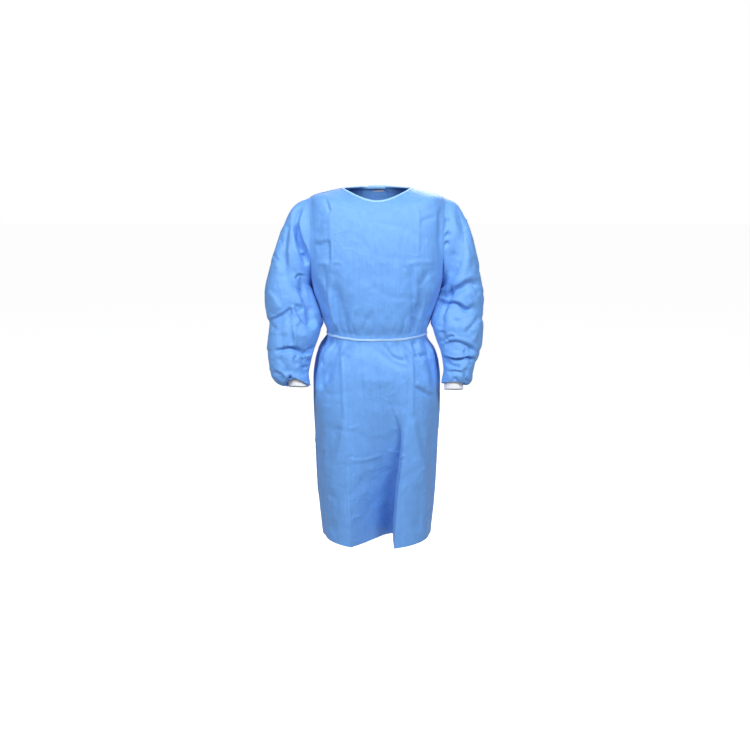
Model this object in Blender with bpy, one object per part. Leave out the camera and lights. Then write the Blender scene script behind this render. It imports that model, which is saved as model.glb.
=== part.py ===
"""Surgical gown in the hollow form it has when worn, tied at the waist.

Metres, +Z up, the front faces -Y. Left and right are the viewer's, so left is -X. The origin is
between the shoulders, level with the neck ends of the shoulder seams, where the gown is held up.
A place on the body of the gown is an angle round it (0 at the front, 90 at the right side seam,
180 at the back) and a rise, which is the height above the hem along the side.
"""
from collections import namedtuple

import bpy
import numpy as np

# Driving sizes
WALL = 0.0015
SEAM = 0.0003
SIDE_SEAM_ANGLE = 90.0
BACK_OVERLAP_ANGLE = 200.0
TUCK_START_ANGLE = 146.0
TUCK_END_ANGLE = 163.0
TUCK_DEPTH = 0.0062
ARMHOLE_BITE_ANGLE = 17.5
# How square the armhole's front edge is, and how evenly it climbs (0) or slows at its ends (1)
ARMHOLE_SQUARENESS = 0.9
ARMHOLE_ROUNDNESS = 0.6

RISE_UNDERARM = 0.785
RISE_TIP = 1.052
RISE_NECK = 1.152

BELT_RISE = 0.645
BELT_HEIGHT = 0.008
BELT_THICKNESS = 0.0022
BELT_CLEAR = 0.0005
# Angle by which the belt's ring starts inside the back's overlap
BELT_JOIN_ANGLE = 4.0
# The cloth is smooth this far above and below the belt's middle, then its folds grow over the fade
BELT_SMOOTH = 0.0075
BELT_FADE = 0.030
WAIST_HALF = 0.008

BELT_END_STEPS = 16
BELT_END_CLEAR = 0.0030
BELT_END_WALL = 0.0018
BELT_END_SPREAD = 0.9
BELT_END_LENGTHS = {"left": 0.27, "right": 0.31}
BELT_END_ANGLES = {"left": 183.2, "right": 176.6}
# Shares of the length over which an end comes in from the knot, and over which it is let down
BELT_END_COMES_IN = 0.12
BELT_END_LET_DOWN = 0.25

KNOT_HALF = (0.013, 0.006, 0.009)
KNOT_ROWS = 8
KNOT_COLUMNS = 14
KNOT_SQUARENESS = 0.75

BINDING_LEG = 0.0075
BINDING_WALL = 0.0008
TAPE_THICKNESS = 0.0009
TAPE_LOW = 0.001
TAPE_HEIGHT = 0.024
# Row of the back whose flat faces carry the tapes, and the columns that they lie between
TAPE_ROW = -3
LOOP_COLUMNS = (8, 13)
HOOK_COLUMNS = (9, 13)

# Grid steps of the body panels, from hem to neck and across
SKIRT_ROWS = 17
WAIST_ROWS = 2
BODICE_ROWS = 7
ARMHOLE_ROWS = 12
SHOULDER_ROWS = 4
FRONT_STEPS = (8, 6, 3, 7)
BACK_STEPS = 12
SLEEVE_ROWS = 22
CUFF_ROWS = 3

# Sections of the body of the gown, from hem to neckline
Ring = namedtuple("Ring", "rise half_width front back z_front z_side z_back squareness")
RINGS = (
    Ring(0.000, 0.174, 0.157, 0.146, -1.093, -1.082, -1.090, 2.3),
    Ring(0.120, 0.185, 0.158, 0.150, -0.968, -0.963, -0.967, 2.3),
    Ring(0.300, 0.193, 0.157, 0.152, -0.787, -0.785, -0.787, 2.3),
    Ring(0.460, 0.198, 0.154, 0.150, -0.627, -0.625, -0.627, 2.3),
    Ring(0.535, 0.195, 0.147, 0.141, -0.553, -0.550, -0.552, 2.3),
    Ring(0.595, 0.180, 0.135, 0.122, -0.495, -0.490, -0.491, 2.3),
    Ring(0.637, 0.1545, 0.122, 0.103, -0.455, -0.448, -0.448, 2.3),
    Ring(0.653, 0.1545, 0.122, 0.103, -0.439, -0.432, -0.432, 2.3),
    Ring(0.680, 0.165, 0.131, 0.113, -0.411, -0.405, -0.404, 2.35),
    Ring(0.725, 0.179, 0.137, 0.122, -0.365, -0.360, -0.359, 2.4),
    Ring(0.785, 0.197, 0.140, 0.128, -0.304, -0.300, -0.299, 2.5),
    Ring(0.865, 0.206, 0.139, 0.131, -0.225, -0.218, -0.217, 2.6),
    Ring(0.945, 0.207, 0.131, 0.126, -0.152, -0.132, -0.138, 2.6),
    Ring(1.005, 0.207, 0.119, 0.114, -0.104, -0.068, -0.084, 2.5),
    Ring(1.052, 0.201, 0.107, 0.101, -0.074, -0.026, -0.046, 2.3),
    Ring(1.100, 0.153, 0.097, 0.088, -0.054, -0.012, -0.018, 2.15),
    Ring(1.152, 0.103, 0.086, 0.075, -0.036, 0.000, 0.006, 2.0),
)

# The deep inward fold low on the front: x of its ridges and valley, and its depth
Pleat = namedtuple("Pleat", "rise left_ridge valley right_ridge depth")
PLEAT = (
    Pleat(0.000, -0.080, 0.040, 0.052, 0.144),
    Pleat(0.150, -0.084, 0.038, 0.062, 0.101),
    Pleat(0.300, -0.090, 0.034, 0.080, 0.053),
    Pleat(0.420, -0.096, 0.029, 0.098, 0.020),
    Pleat(0.520, -0.100, 0.028, 0.108, 0.000),
)
# Share of its left face that is flat; the rest curves level at the valley
PLEAT_FLAT = 0.7

# Soft folds of the body: a straight line from one place to another, a depth (a ridge is negative)
# and how far the fold reaches to each side of the line
Fold = namedtuple("Fold", "angle_a rise_a angle_b rise_b depth reach")
BODY_FOLDS = (
    Fold(-58, 0.66, -68, 0.80, 0.010, 0.016),
    Fold(-38, 0.66, -46, 0.83, 0.007, 0.016),
    Fold(-50, 0.67, -57, 0.80, -0.006, 0.012),
    Fold(48, 0.66, 52, 0.83, 0.009, 0.017),
    Fold(64, 0.67, 74, 0.79, 0.007, 0.014),
    Fold(-34, 0.62, -62, 0.50, 0.012, 0.018),
    Fold(-62, 0.60, -72, 0.44, -0.007, 0.016),
    Fold(34, 0.62, 52, 0.53, 0.010, 0.015),
    Fold(62, 0.61, 66, 0.46, 0.008, 0.015),
    Fold(0, 0.61, 30, 0.56, 0.006, 0.012),
    Fold(-74, 0.40, -70, 0.02, 0.012, 0.024),
    Fold(66, 0.40, 74, 0.02, 0.012, 0.024),
    Fold(112, 0.60, 118, 0.02, 0.016, 0.024),
    Fold(140, 0.61, 144, 0.25, 0.013, 0.020),
    Fold(165, 0.58, 160, 0.02, 0.017, 0.026),
    Fold(-110, 0.60, -113, 0.02, 0.015, 0.024),
    Fold(-137, 0.61, -140, 0.05, 0.016, 0.024),
    Fold(-160, 0.55, -163, 0.02, 0.009, 0.020),
    Fold(118, 0.66, 108, 0.84, 0.010, 0.017),
    Fold(145, 0.66, 138, 0.80, 0.009, 0.017),
    Fold(-120, 0.66, -107, 0.82, 0.010, 0.017),
    Fold(-146, 0.66, -140, 0.82, 0.008, 0.017),
)
# Radius that turns an angle of a fold into a length, and the share of its depth left at its ends
FOLD_RADIUS = 0.165
FOLD_ENDS = 0.5

# Sections of the sleeves: the outer and the inner edge, seen from the front, then the middle of the
# section in y, half its depth and how steeply its front rises. x counts outwards from the middle.
Section = namedtuple("Section", "outer_x outer_z inner_x inner_z y_mid half_depth lean")
SLEEVE_LEFT = (
    Section(0.201, -0.026, 0.197, -0.300, 0.000, 0.064, 0.00),
    Section(0.232, -0.038, 0.199, -0.303, -0.001, 0.067, 0.00),
    Section(0.261, -0.066, 0.201, -0.307, -0.003, 0.070, 0.00),
    Section(0.288, -0.116, 0.2005, -0.313, -0.006, 0.073, 0.00),
    Section(0.306, -0.164, 0.1985, -0.321, -0.010, 0.075, 0.00),
    Section(0.322, -0.216, 0.192, -0.332, -0.014, 0.076, 0.02),
    Section(0.336, -0.268, 0.1865, -0.347, -0.018, 0.076, 0.05),
    Section(0.343, -0.320, 0.180, -0.366, -0.023, 0.074, 0.10),
    Section(0.341, -0.372, 0.1745, -0.392, -0.031, 0.073, 0.15),
    Section(0.331, -0.414, 0.171, -0.420, -0.040, 0.071, 0.20),
    Section(0.335, -0.455, 0.180, -0.454, -0.050, 0.069, 0.24),
    Section(0.336, -0.492, 0.192, -0.486, -0.059, 0.066, 0.26),
    Section(0.330, -0.528, 0.201, -0.520, -0.067, 0.061, 0.27),
    Section(0.325, -0.562, 0.208, -0.556, -0.074, 0.056, 0.28),
    Section(0.308, -0.586, 0.204, -0.586, -0.079, 0.049, 0.28),
    Section(0.286, -0.596, 0.205, -0.594, -0.081, 0.041, 0.28),
    Section(0.272, -0.580, 0.212, -0.578, -0.081, 0.033, 0.28),
)
SLEEVE_RIGHT = (
    Section(0.201, -0.026, 0.197, -0.300, 0.000, 0.064, 0.00),
    Section(0.233, -0.040, 0.199, -0.303, -0.001, 0.067, 0.00),
    Section(0.258, -0.070, 0.200, -0.307, -0.003, 0.070, 0.00),
    Section(0.282, -0.118, 0.1995, -0.313, -0.006, 0.073, 0.00),
    Section(0.297, -0.164, 0.197, -0.321, -0.010, 0.075, 0.00),
    Section(0.309, -0.216, 0.1915, -0.332, -0.014, 0.075, 0.02),
    Section(0.317, -0.266, 0.1862, -0.347, -0.018, 0.074, 0.05),
    Section(0.328, -0.320, 0.1797, -0.366, -0.023, 0.073, 0.10),
    Section(0.325, -0.372, 0.174, -0.392, -0.031, 0.071, 0.15),
    Section(0.326, -0.414, 0.171, -0.420, -0.040, 0.070, 0.20),
    Section(0.323, -0.455, 0.180, -0.452, -0.049, 0.067, 0.24),
    Section(0.317, -0.492, 0.191, -0.482, -0.058, 0.063, 0.26),
    Section(0.303, -0.526, 0.199, -0.513, -0.066, 0.058, 0.27),
    Section(0.294, -0.556, 0.202, -0.546, -0.073, 0.053, 0.28),
    Section(0.290, -0.580, 0.197, -0.573, -0.078, 0.047, 0.28),
    Section(0.277, -0.592, 0.197, -0.586, -0.080, 0.039, 0.28),
    Section(0.263, -0.582, 0.205, -0.577, -0.080, 0.032, 0.28),
)
SLEEVES = {"left": SLEEVE_LEFT, "right": SLEEVE_RIGHT}
# Shares of the sleeve's length over which it takes up the armhole's shape, and over which its folds
# grow from the armhole and from the wrist; then the share of its half depth over which they fade
SEAM_BLEND = 0.34
ARMHOLE_EASE = 0.12
WRIST_EASE = 0.10
EDGE_FADE = 0.4

# Folds of the sleeves: x outwards and z of each end as seen from the front, then depth, reach and
# the side that they are on
SleeveFold = namedtuple("SleeveFold", "x_a z_a x_b z_b depth reach face")
SLEEVE_FOLDS = {
    "left": (
        SleeveFold(0.228, -0.060, 0.243, -0.110, 0.008, 0.012, "front"),
        SleeveFold(0.243, -0.110, 0.206, -0.205, 0.008, 0.012, "front"),
        SleeveFold(0.262, -0.095, 0.278, -0.200, 0.007, 0.016, "front"),
        SleeveFold(0.278, -0.200, 0.225, -0.305, 0.009, 0.016, "front"),
        SleeveFold(0.316, -0.390, 0.250, -0.352, 0.006, 0.015, "front"),
        SleeveFold(0.305, -0.482, 0.195, -0.478, 0.007, 0.014, "front"),
        SleeveFold(0.270, -0.420, 0.205, -0.440, -0.006, 0.014, "front"),
        SleeveFold(0.295, -0.535, 0.240, -0.545, 0.004, 0.012, "front"),
        SleeveFold(0.250, -0.090, 0.275, -0.240, 0.008, 0.018, "back"),
        SleeveFold(0.215, -0.230, 0.300, -0.350, 0.010, 0.018, "back"),
        SleeveFold(0.310, -0.420, 0.200, -0.450, 0.007, 0.016, "back"),
        SleeveFold(0.300, -0.500, 0.220, -0.520, 0.006, 0.014, "back"),
    ),
    "right": (
        SleeveFold(0.232, -0.050, 0.258, -0.110, 0.007, 0.015, "front"),
        SleeveFold(0.258, -0.110, 0.214, -0.282, 0.009, 0.016, "front"),
        SleeveFold(0.192, -0.332, 0.276, -0.284, 0.010, 0.015, "front"),
        SleeveFold(0.190, -0.352, 0.295, -0.358, 0.007, 0.014, "front"),
        SleeveFold(0.200, -0.468, 0.285, -0.478, 0.006, 0.014, "front"),
        SleeveFold(0.200, -0.515, 0.280, -0.512, 0.005, 0.012, "front"),
        SleeveFold(0.225, -0.410, 0.300, -0.405, -0.006, 0.016, "front"),
        SleeveFold(0.245, -0.080, 0.270, -0.250, 0.008, 0.018, "back"),
        SleeveFold(0.205, -0.290, 0.300, -0.330, 0.010, 0.018, "back"),
        SleeveFold(0.190, -0.430, 0.305, -0.410, 0.008, 0.016, "back"),
        SleeveFold(0.200, -0.500, 0.295, -0.480, 0.008, 0.014, "back"),
    ),
}

# Knit cuffs: how far they reach up inside the end of the sleeve and down below it, and how far
# the bottom lies outwards of the top
Cuff = namedtuple("Cuff", "above below outwards")
CUFFS = {"left": Cuff(0.004, 0.018, -0.003), "right": Cuff(0.004, 0.026, 0.001)}
CUFF_CLEAR = 0.0005
CUFF_WALL = 0.0014
CUFF_SPREAD = 0.04

# Colour, roughness of each material
MATERIALS = {
    "gown cloth": ((0.130, 0.350, 0.780), 0.62),
    "knit": ((0.820, 0.850, 0.880), 0.85),
    "binding": ((0.330, 0.560, 0.860), 0.60),
    "tie": ((0.560, 0.720, 0.900), 0.60),
    "fastening tape": ((0.700, 0.760, 0.830), 0.90),
}


def hermite(knots, values, at):
    """Smooth curve through values at the knots; values has one row for each knot."""
    knots = np.asarray(knots, float)
    slopes = np.gradient(values, knots, axis=0)
    at = np.clip(at, knots[0], knots[-1])
    k = np.clip(np.searchsorted(knots, at, side="right") - 1, 0, len(knots) - 2)
    step = knots[k + 1] - knots[k]
    f = (at - knots[k]) / step
    shape = (-1,) + (1,) * (np.ndim(values) - 1)
    f, step = np.reshape(f, shape), np.reshape(step, shape)
    low, high = np.reshape(k, -1), np.reshape(k, -1) + 1
    return ((2 * f**3 - 3 * f**2 + 1) * values[low] + (f**3 - 2 * f**2 + f) * step * slopes[low]
            + (3 * f**2 - 2 * f**3) * values[high] + (f**3 - f**2) * step * slopes[high])


def smooth(x):
    x = np.clip(x, 0.0, 1.0)
    return x * x * (3 - 2 * x)


def unit(vectors):
    return vectors / np.maximum(np.linalg.norm(vectors, axis=-1, keepdims=True), 1e-12)


def ring_sizes(rise):
    """Sizes of the body's section at each rise."""
    table = np.array(RINGS, float)
    return hermite(table[:, 0], table[:, 1:], rise)


def section_point(angle, sizes):
    """Point of a section at each angle, and the level way out of it."""
    width, front, back, z_front, z_side, z_back, square = sizes.T
    a = np.radians(angle)
    across, along = np.sin(a), -np.cos(a)
    ahead = along < 0
    depth = np.where(ahead, front, back)
    radius = ((np.abs(across) / width) ** square + (np.abs(along) / depth) ** square) ** (-1 / square)
    level = np.where(ahead, z_front, z_back)
    z = z_side + (level - z_side) * along**2
    point = np.stack([radius * across, radius * along, z], -1)
    way = np.stack([np.sign(across) * (np.abs(across) / width) ** (square - 1) / width,
                    np.sign(along) * (np.abs(along) / depth) ** (square - 1) / depth,
                    np.zeros_like(z)], -1)
    return point, unit(way)


def angle_of_x(x, sizes):
    """Angle at which the front of a section is x from the middle."""
    width, front, square = sizes[:, 0], sizes[:, 1], sizes[:, 6]
    y = front * np.clip(1 - np.abs(x / width) ** square, 0, 1) ** (1 / square)
    return np.degrees(np.arctan2(x, y))


def pleat_angles(rise):
    """Angles of the left ridge, valley and right ridge of the deep fold, and its depth."""
    table = np.array(PLEAT, float)
    sizes = ring_sizes(table[:, 0])
    for i in range(1, 4):
        table[:, i] = angle_of_x(table[:, i], sizes)
    return hermite(table[:, 0], table[:, 1:], rise).T


def left_face_depth(share):
    """Share of the deep fold's depth across its left face, from the ridge to the valley."""
    straight = 2 * share / (1 + PLEAT_FLAT)
    curved = 1 - (1 - share) ** 2 / (1 - PLEAT_FLAT**2)
    return np.where(share < PLEAT_FLAT, straight, curved)


def line_distance(px, py, ax, ay, bx, by):
    """Distance from points to a line, and how far along it they are (0 to 1)."""
    dx, dy = bx - ax, by - ay
    along = ((px - ax) * dx + (py - ay) * dy) / (dx * dx + dy * dy)
    near = np.clip(along, 0, 1)
    return np.hypot(px - ax - near * dx, py - ay - near * dy), near


def fold_shape(gap, near):
    """Share of a fold's depth beside its line, in reaches, and along it."""
    return np.exp(-gap**2) * (FOLD_ENDS + (1 - FOLD_ENDS) * np.sin(np.pi * near))


def body_fold_depth(angle, rise):
    """How far the soft folds move the cloth in."""
    total = np.zeros_like(angle)
    scale = np.radians(1.0) * FOLD_RADIUS
    for f in BODY_FOLDS:
        turned = (angle - f.angle_a + 180) % 360 - 180
        gap, near = line_distance(turned * scale, rise, 0.0, f.rise_a,
                                  (f.angle_b - f.angle_a) * scale, f.rise_b)
        total += f.depth * fold_shape(gap / f.reach, near)
    return total * smooth((np.abs(rise - BELT_RISE) - BELT_SMOOTH) / BELT_FADE)


def cloth(angle, rise):
    """Outer face of the gown's body at each angle and rise."""
    angle, rise = np.broadcast_arrays(np.asarray(angle, float), np.asarray(rise, float))
    shape = angle.shape
    angle, rise = angle.ravel(), rise.ravel()
    sizes = ring_sizes(rise)
    point, way = section_point(angle, sizes)
    left, valley, right, depth = pleat_angles(rise)
    inward = np.where(angle < valley, left_face_depth((angle - left) / (valley - left)),
                      (right - angle) / (right - valley))
    inward = np.where(np.abs(angle) < SIDE_SEAM_ANGLE, np.clip(inward, 0, 1), 0)
    moved = point - way * body_fold_depth(angle, rise)[:, None]
    moved[:, 1] += depth * inward
    return moved.reshape(shape + (3,))


def cloth_normal(angle, rise):
    """Way out of the cloth, square to its face."""
    turn, climb = 0.4, 0.002
    low = np.maximum(rise - climb, 0.0)
    high = np.minimum(rise + climb, RISE_NECK)
    across = cloth(angle + turn, rise) - cloth(angle - turn, rise)
    along = cloth(angle, high) - cloth(angle, low)
    return unit(np.cross(across, along))


def tuck(angle):
    """How far the under panel of the back lies inside the outer one."""
    share = (np.abs(angle) - TUCK_START_ANGLE) / (TUCK_END_ANGLE - TUCK_START_ANGLE)
    return TUCK_DEPTH * smooth(share)


def armhole_angle(turn):
    """Angle of the armhole's front edge; turn is 0 at the shoulder tip and pi at the underarm."""
    return SIDE_SEAM_ANGLE - ARMHOLE_BITE_ANGLE * np.sin(turn) ** ARMHOLE_SQUARENESS


def armhole_rise(turn):
    share = ARMHOLE_ROUNDNESS * (1 - np.cos(turn)) / 2 + (1 - ARMHOLE_ROUNDNESS) * turn / np.pi
    return RISE_TIP + (RISE_UNDERARM - RISE_TIP) * share


def body_rises():
    """Rise of each row of the panels, and the angle of their side edge, which the armhole cuts."""
    belt_low, belt_high = BELT_RISE - WAIST_HALF, BELT_RISE + WAIST_HALF
    turns = np.linspace(np.pi, 0, ARMHOLE_ROWS + 1)
    rises = np.concatenate([
        np.linspace(0, belt_low, SKIRT_ROWS + 1)[:-1],
        np.linspace(belt_low, belt_high, WAIST_ROWS + 1)[:-1],
        np.linspace(belt_high, RISE_UNDERARM, BODICE_ROWS + 1)[:-1],
        armhole_rise(turns),
        np.linspace(RISE_TIP, RISE_NECK - BINDING_LEG, SHOULDER_ROWS)[1:], [RISE_NECK]])
    first = SKIRT_ROWS + WAIST_ROWS + BODICE_ROWS
    side = np.full(len(rises), SIDE_SEAM_ANGLE)
    side[first:first + len(turns)] = armhole_angle(turns)
    return rises, side


def seam_angle(rises):
    """Angle that half a seam's gap takes up at the side."""
    return np.degrees(SEAM / 2 / ring_sizes(rises)[:, 0])


def wall_object(name, outer, inner, material, closed=False):
    """Solid between two grids of points, [row][column]; closed joins the last column to the first."""
    rows, columns = outer.shape[:2]
    points = np.concatenate([outer.reshape(-1, 3), inner.reshape(-1, 3)])
    half = rows * columns
    spans = columns if closed else columns - 1

    def at(row, column, side):
        return side * half + row * columns + column % columns

    faces = []
    for r in range(rows - 1):
        for c in range(spans):
            follow = (c + 1) % columns
            rising = np.linalg.norm(outer[r, c] - outer[r + 1, follow])
            falling = np.linalg.norm(outer[r, follow] - outer[r + 1, c])
            corners = [(r, c), (r, c + 1), (r + 1, c + 1), (r + 1, c)]
            if falling < rising:
                corners = corners[1:] + corners[:1]
            for triangle in ((0, 1, 2), (0, 2, 3)):
                faces.append([at(*corners[i], 0) for i in triangle])
                faces.append([at(*corners[i], 1) for i in triangle[::-1]])
    for c in range(spans):
        faces.append([at(0, c, 0), at(0, c, 1), at(0, c + 1, 1), at(0, c + 1, 0)])
        last = rows - 1
        faces.append([at(last, c, 0), at(last, c + 1, 0), at(last, c + 1, 1), at(last, c, 1)])
    if not closed:
        for r in range(rows - 1):
            end = columns - 1
            faces.append([at(r, 0, 0), at(r + 1, 0, 0), at(r + 1, 0, 1), at(r, 0, 1)])
            faces.append([at(r, end, 0), at(r, end, 1), at(r + 1, end, 1), at(r + 1, end, 0)])
    return mesh_object(name, points, faces, material)


def mesh_object(name, points, faces, material):
    """Object from points and faces, turned so that its faces point out."""
    volume = 0.0
    for face in faces:
        for i in range(1, len(face) - 1):
            a, b, c = points[face[0]], points[face[i]], points[face[i + 1]]
            volume += np.dot(a, np.cross(b, c))
    if volume < 0:
        faces = [face[::-1] for face in faces]
    mesh = bpy.data.meshes.new(name)
    mesh.from_pydata([tuple(map(float, p)) for p in points], [], faces)
    mesh.update()
    mesh.shade_smooth()
    mesh.materials.append(material)
    piece = bpy.data.objects.new(name, mesh)
    bpy.context.collection.objects.link(piece)
    return piece


def make_material(name):
    colour, roughness = MATERIALS[name]
    material = bpy.data.materials.new(name)
    material.use_nodes = True
    shader = material.node_tree.nodes["Principled BSDF"]
    shader.inputs["Base Color"].default_value = (*colour, 1.0)
    shader.inputs["Roughness"].default_value = roughness
    return material


def front_places():
    """Angle and rise of each point of the front, whose columns follow the deep fold."""
    rises, side = body_rises()
    side = side - seam_angle(rises)
    left, valley, right, _ = pleat_angles(rises)
    stops = [-side, left, valley, right, side]
    columns = []
    for i, steps in enumerate(FRONT_STEPS):
        for share in np.linspace(0, 1, steps + 1)[:-1]:
            columns.append(stops[i] * (1 - share) + stops[i + 1] * share)
    columns.append(side)
    angles = np.stack(columns, 1)
    return angles, np.repeat(rises[:, None], angles.shape[1], 1)


def back_places(hand):
    """Angle and rise of each point of half the back, from its side seam to past the middle."""
    rises, side = body_rises()
    side = 2 * SIDE_SEAM_ANGLE - side + seam_angle(rises)
    shares = np.linspace(0, 1, BACK_STEPS + 1)
    angles = hand * (side[:, None] + (BACK_OVERLAP_ANGLE - side[:, None]) * shares)
    return angles, np.repeat(rises[:, None], angles.shape[1], 1)


def panel_points(places):
    """Outer face of a panel and the way out of it; the left half of the back lies under the right."""
    angles, rises = places
    normal = cloth_normal(angles, rises)
    under = np.where(angles < -SIDE_SEAM_ANGLE, tuck(angles), 0.0)
    return cloth(angles, rises) - normal * under[..., None], normal


def panel(name, places, material):
    outer, normal = panel_points(places)
    return wall_object(name, outer, outer - normal * WALL, material)


def row_at(places, rise):
    """Points of a panel and ways out of it at one rise, on its flat faces."""
    rises = places[1][:, 0]
    low = int(np.clip(np.searchsorted(rises, rise) - 1, 0, len(rises) - 2))
    share = (rise - rises[low]) / (rises[low + 1] - rises[low])
    points, normal = panel_points((places[0][low:low + 2], places[1][low:low + 2]))
    return (points[0] * (1 - share) + points[1] * share,
            unit(normal[0] * (1 - share) + normal[1] * share))


def round_row(rise):
    """Points and ways out at one rise of all panels, from one back edge round to the other."""
    rows = [row_at(places, rise) for places in (back_places(-1), front_places(), back_places(1))]
    points = np.concatenate([rows[0][0][:0:-1], rows[1][0], rows[2][0][1:]])
    return points, np.concatenate([rows[0][1][:0:-1], rows[1][1], rows[2][1][1:]])


def armhole_loop(hand):
    """Armhole edge from the shoulder tip down the front and up the back."""
    turns = np.linspace(0, np.pi, ARMHOLE_ROWS + 1)
    front = cloth(hand * armhole_angle(turns), armhole_rise(turns))
    back_turns = turns[-2:0:-1]
    back_angle = 2 * SIDE_SEAM_ANGLE - armhole_angle(back_turns)
    back = cloth(hand * back_angle, armhole_rise(back_turns))
    return np.concatenate([front, back])


def sleeve_fold_depth(side, point, around):
    """How far the sleeve's folds move the cloth in."""
    total = np.zeros(point.shape[:-1])
    facing = np.sin(around)
    for f in SLEEVE_FOLDS[side]:
        gap, near = line_distance(np.abs(point[..., 0]), point[..., 2], f.x_a, f.z_a, f.x_b, f.z_b)
        seen = smooth((facing if f.face == "front" else -facing) / EDGE_FADE)
        total += f.depth * fold_shape(gap / f.reach, near) * seen
    return total


def sleeve(name, side, material):
    """Sleeve from the armhole to the gathered wrist."""
    hand = -1 if side == "left" else 1
    table = np.array(SLEEVES[side], float)
    knots = np.linspace(0, 1, len(table))
    along = np.linspace(0, 1, SLEEVE_ROWS + 1)
    rows = hermite(knots, table, along)
    outer_x, outer_z, inner_x, inner_z, y_mid, depth, lean = rows.T[:, :, None]
    around = np.arange(2 * ARMHOLE_ROWS) * np.pi / ARMHOLE_ROWS
    c, s = np.cos(around), np.sin(around)
    x = (outer_x + inner_x) / 2 + (outer_x - inner_x) / 2 * c
    z = (outer_z + inner_z) / 2 + (outer_z - inner_z) / 2 * c + depth * lean * s
    grid = np.stack([hand * x, y_mid - depth * s, z], -1)

    loop = armhole_loop(hand)
    middle = loop.mean(0)
    start = loop + SEAM * (unit(middle - loop) + np.array([hand, 0, 0]))
    blend = (1 - smooth(along / SEAM_BLEND))[:, None, None]
    grid = grid + blend * (start - grid[0])
    ease = (smooth(along / ARMHOLE_EASE) * smooth((1 - along) / WRIST_EASE))[:, None]
    outward = unit(grid - grid.mean(1, keepdims=True))
    grid = grid - outward * (sleeve_fold_depth(side, grid, around[None, :]) * ease)[..., None]
    return wall_object(name, grid, grid - tube_normals(grid) * WALL, material, closed=True)


def tube_normals(grid):
    """Way out of a tube of points at each of them."""
    across = np.roll(grid, -1, 1) - np.roll(grid, 1, 1)
    along = np.gradient(grid, axis=0)
    normal = unit(np.cross(across, along))
    centre = grid.mean(1, keepdims=True)
    if np.sum(normal * (grid - centre)) < 0:
        normal = -normal
    return normal


def cuff(name, side, material):
    """Rib-knit cuff, its top just inside the end of the sleeve."""
    hand = -1 if side == "left" else 1
    size, end = CUFFS[side], SLEEVES[side][-1]
    wide = (end.outer_x - end.inner_x) / 2 - CUFF_CLEAR
    deep = end.half_depth - CUFF_CLEAR
    around = np.arange(2 * ARMHOLE_ROWS) * np.pi / ARMHOLE_ROWS
    rows = []
    for drop in np.linspace(-size.above, size.below, CUFF_ROWS + 1):
        share = max(drop, 0) / size.below
        spread = 1 + CUFF_SPREAD * share
        x = (end.outer_x + end.inner_x) / 2 + size.outwards * share + wide * spread * np.cos(around)
        z = (end.outer_z + end.inner_z) / 2 - drop + deep * end.lean * np.sin(around)
        rows.append(np.stack([hand * x, end.y_mid - deep * spread * np.sin(around), z], -1))
    grid = np.array(rows)
    return wall_object(name, grid, grid - tube_normals(grid) * CUFF_WALL, material, closed=True)


def neck_binding(material):
    """Folded strip over the neckline edge, from one back edge to the other."""
    clear = SEAM + BINDING_WALL
    heights = RISE_NECK - np.array([BINDING_LEG, BINDING_LEG / 2, 0.0])
    rows = [round_row(rise) for rise in heights]
    up = unit(rows[2][0] - rows[0][0])
    outside, near_outside, near_inside, inside = [
        [points + normal * lift for points, normal in rows]
        for lift in (clear, SEAM, -WALL - SEAM, -WALL - clear)]
    lines = [outside[0], outside[1], outside[2] + up * clear, inside[2] + up * clear, inside[1],
             inside[0], near_inside[0], near_inside[1], near_inside[2] + up * SEAM,
             near_outside[2] + up * SEAM, near_outside[1], near_outside[0]]
    return tube_object("neck_binding", np.array(lines), material)


def tube_object(name, lines, material, ring=False):
    """Solid whose section is the polygon lines[:, k] and whose length runs along k."""
    sides, length = lines.shape[:2]
    points = lines.reshape(-1, 3)

    def at(side, k):
        return (side % sides) * length + k % length

    faces = []
    for side in range(sides):
        for k in range(length if ring else length - 1):
            faces.append([at(side, k), at(side + 1, k), at(side + 1, k + 1), at(side, k + 1)])
    if not ring:
        first = [at(side, 0) for side in range(sides)]
        last = [at(side, length - 1) for side in range(sides)]
        faces += cap_faces(first) + cap_faces(last[::-1])
    return mesh_object(name, points, faces, material)


def cap_faces(corners):
    """End of a strip: quads between the two halves of its outline, which run side by side."""
    half = len(corners) // 2
    faces = []
    for i in range(half - 1):
        faces.append([corners[i + 1], corners[i], corners[-1 - i], corners[-2 - i]])
    return faces


def belt_path():
    """Points and ways out of a ring round the waist, which passes over the outer half of the back
    and leaves out the edge of the under half, hidden behind it."""
    points, normal = round_row(BELT_RISE)
    angles = np.concatenate([back_places(-1)[0][0][:0:-1], front_places()[0][0],
                             back_places(1)[0][0][1:]])
    shown = angles > BACK_OVERLAP_ANGLE - 360 + BELT_JOIN_ANGLE
    return points[shown], normal[shown]


def belt(material):
    """Narrow tie round the waist, a closed ring."""
    points, normal = belt_path()
    up = np.array([0.0, 0.0, BELT_HEIGHT / 2])
    near, far = points + normal * BELT_CLEAR, points + normal * (BELT_CLEAR + BELT_THICKNESS)
    lines = np.array([near - up, far - up, far + up, near + up])
    return tube_object("belt", lines, material, ring=True)


def belt_back():
    """Outer face of the tie at the middle of the back."""
    at = cloth(np.array([180.0]), np.array([BELT_RISE]))[0]
    return at + np.array([0, BELT_CLEAR + BELT_THICKNESS, 0])


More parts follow.
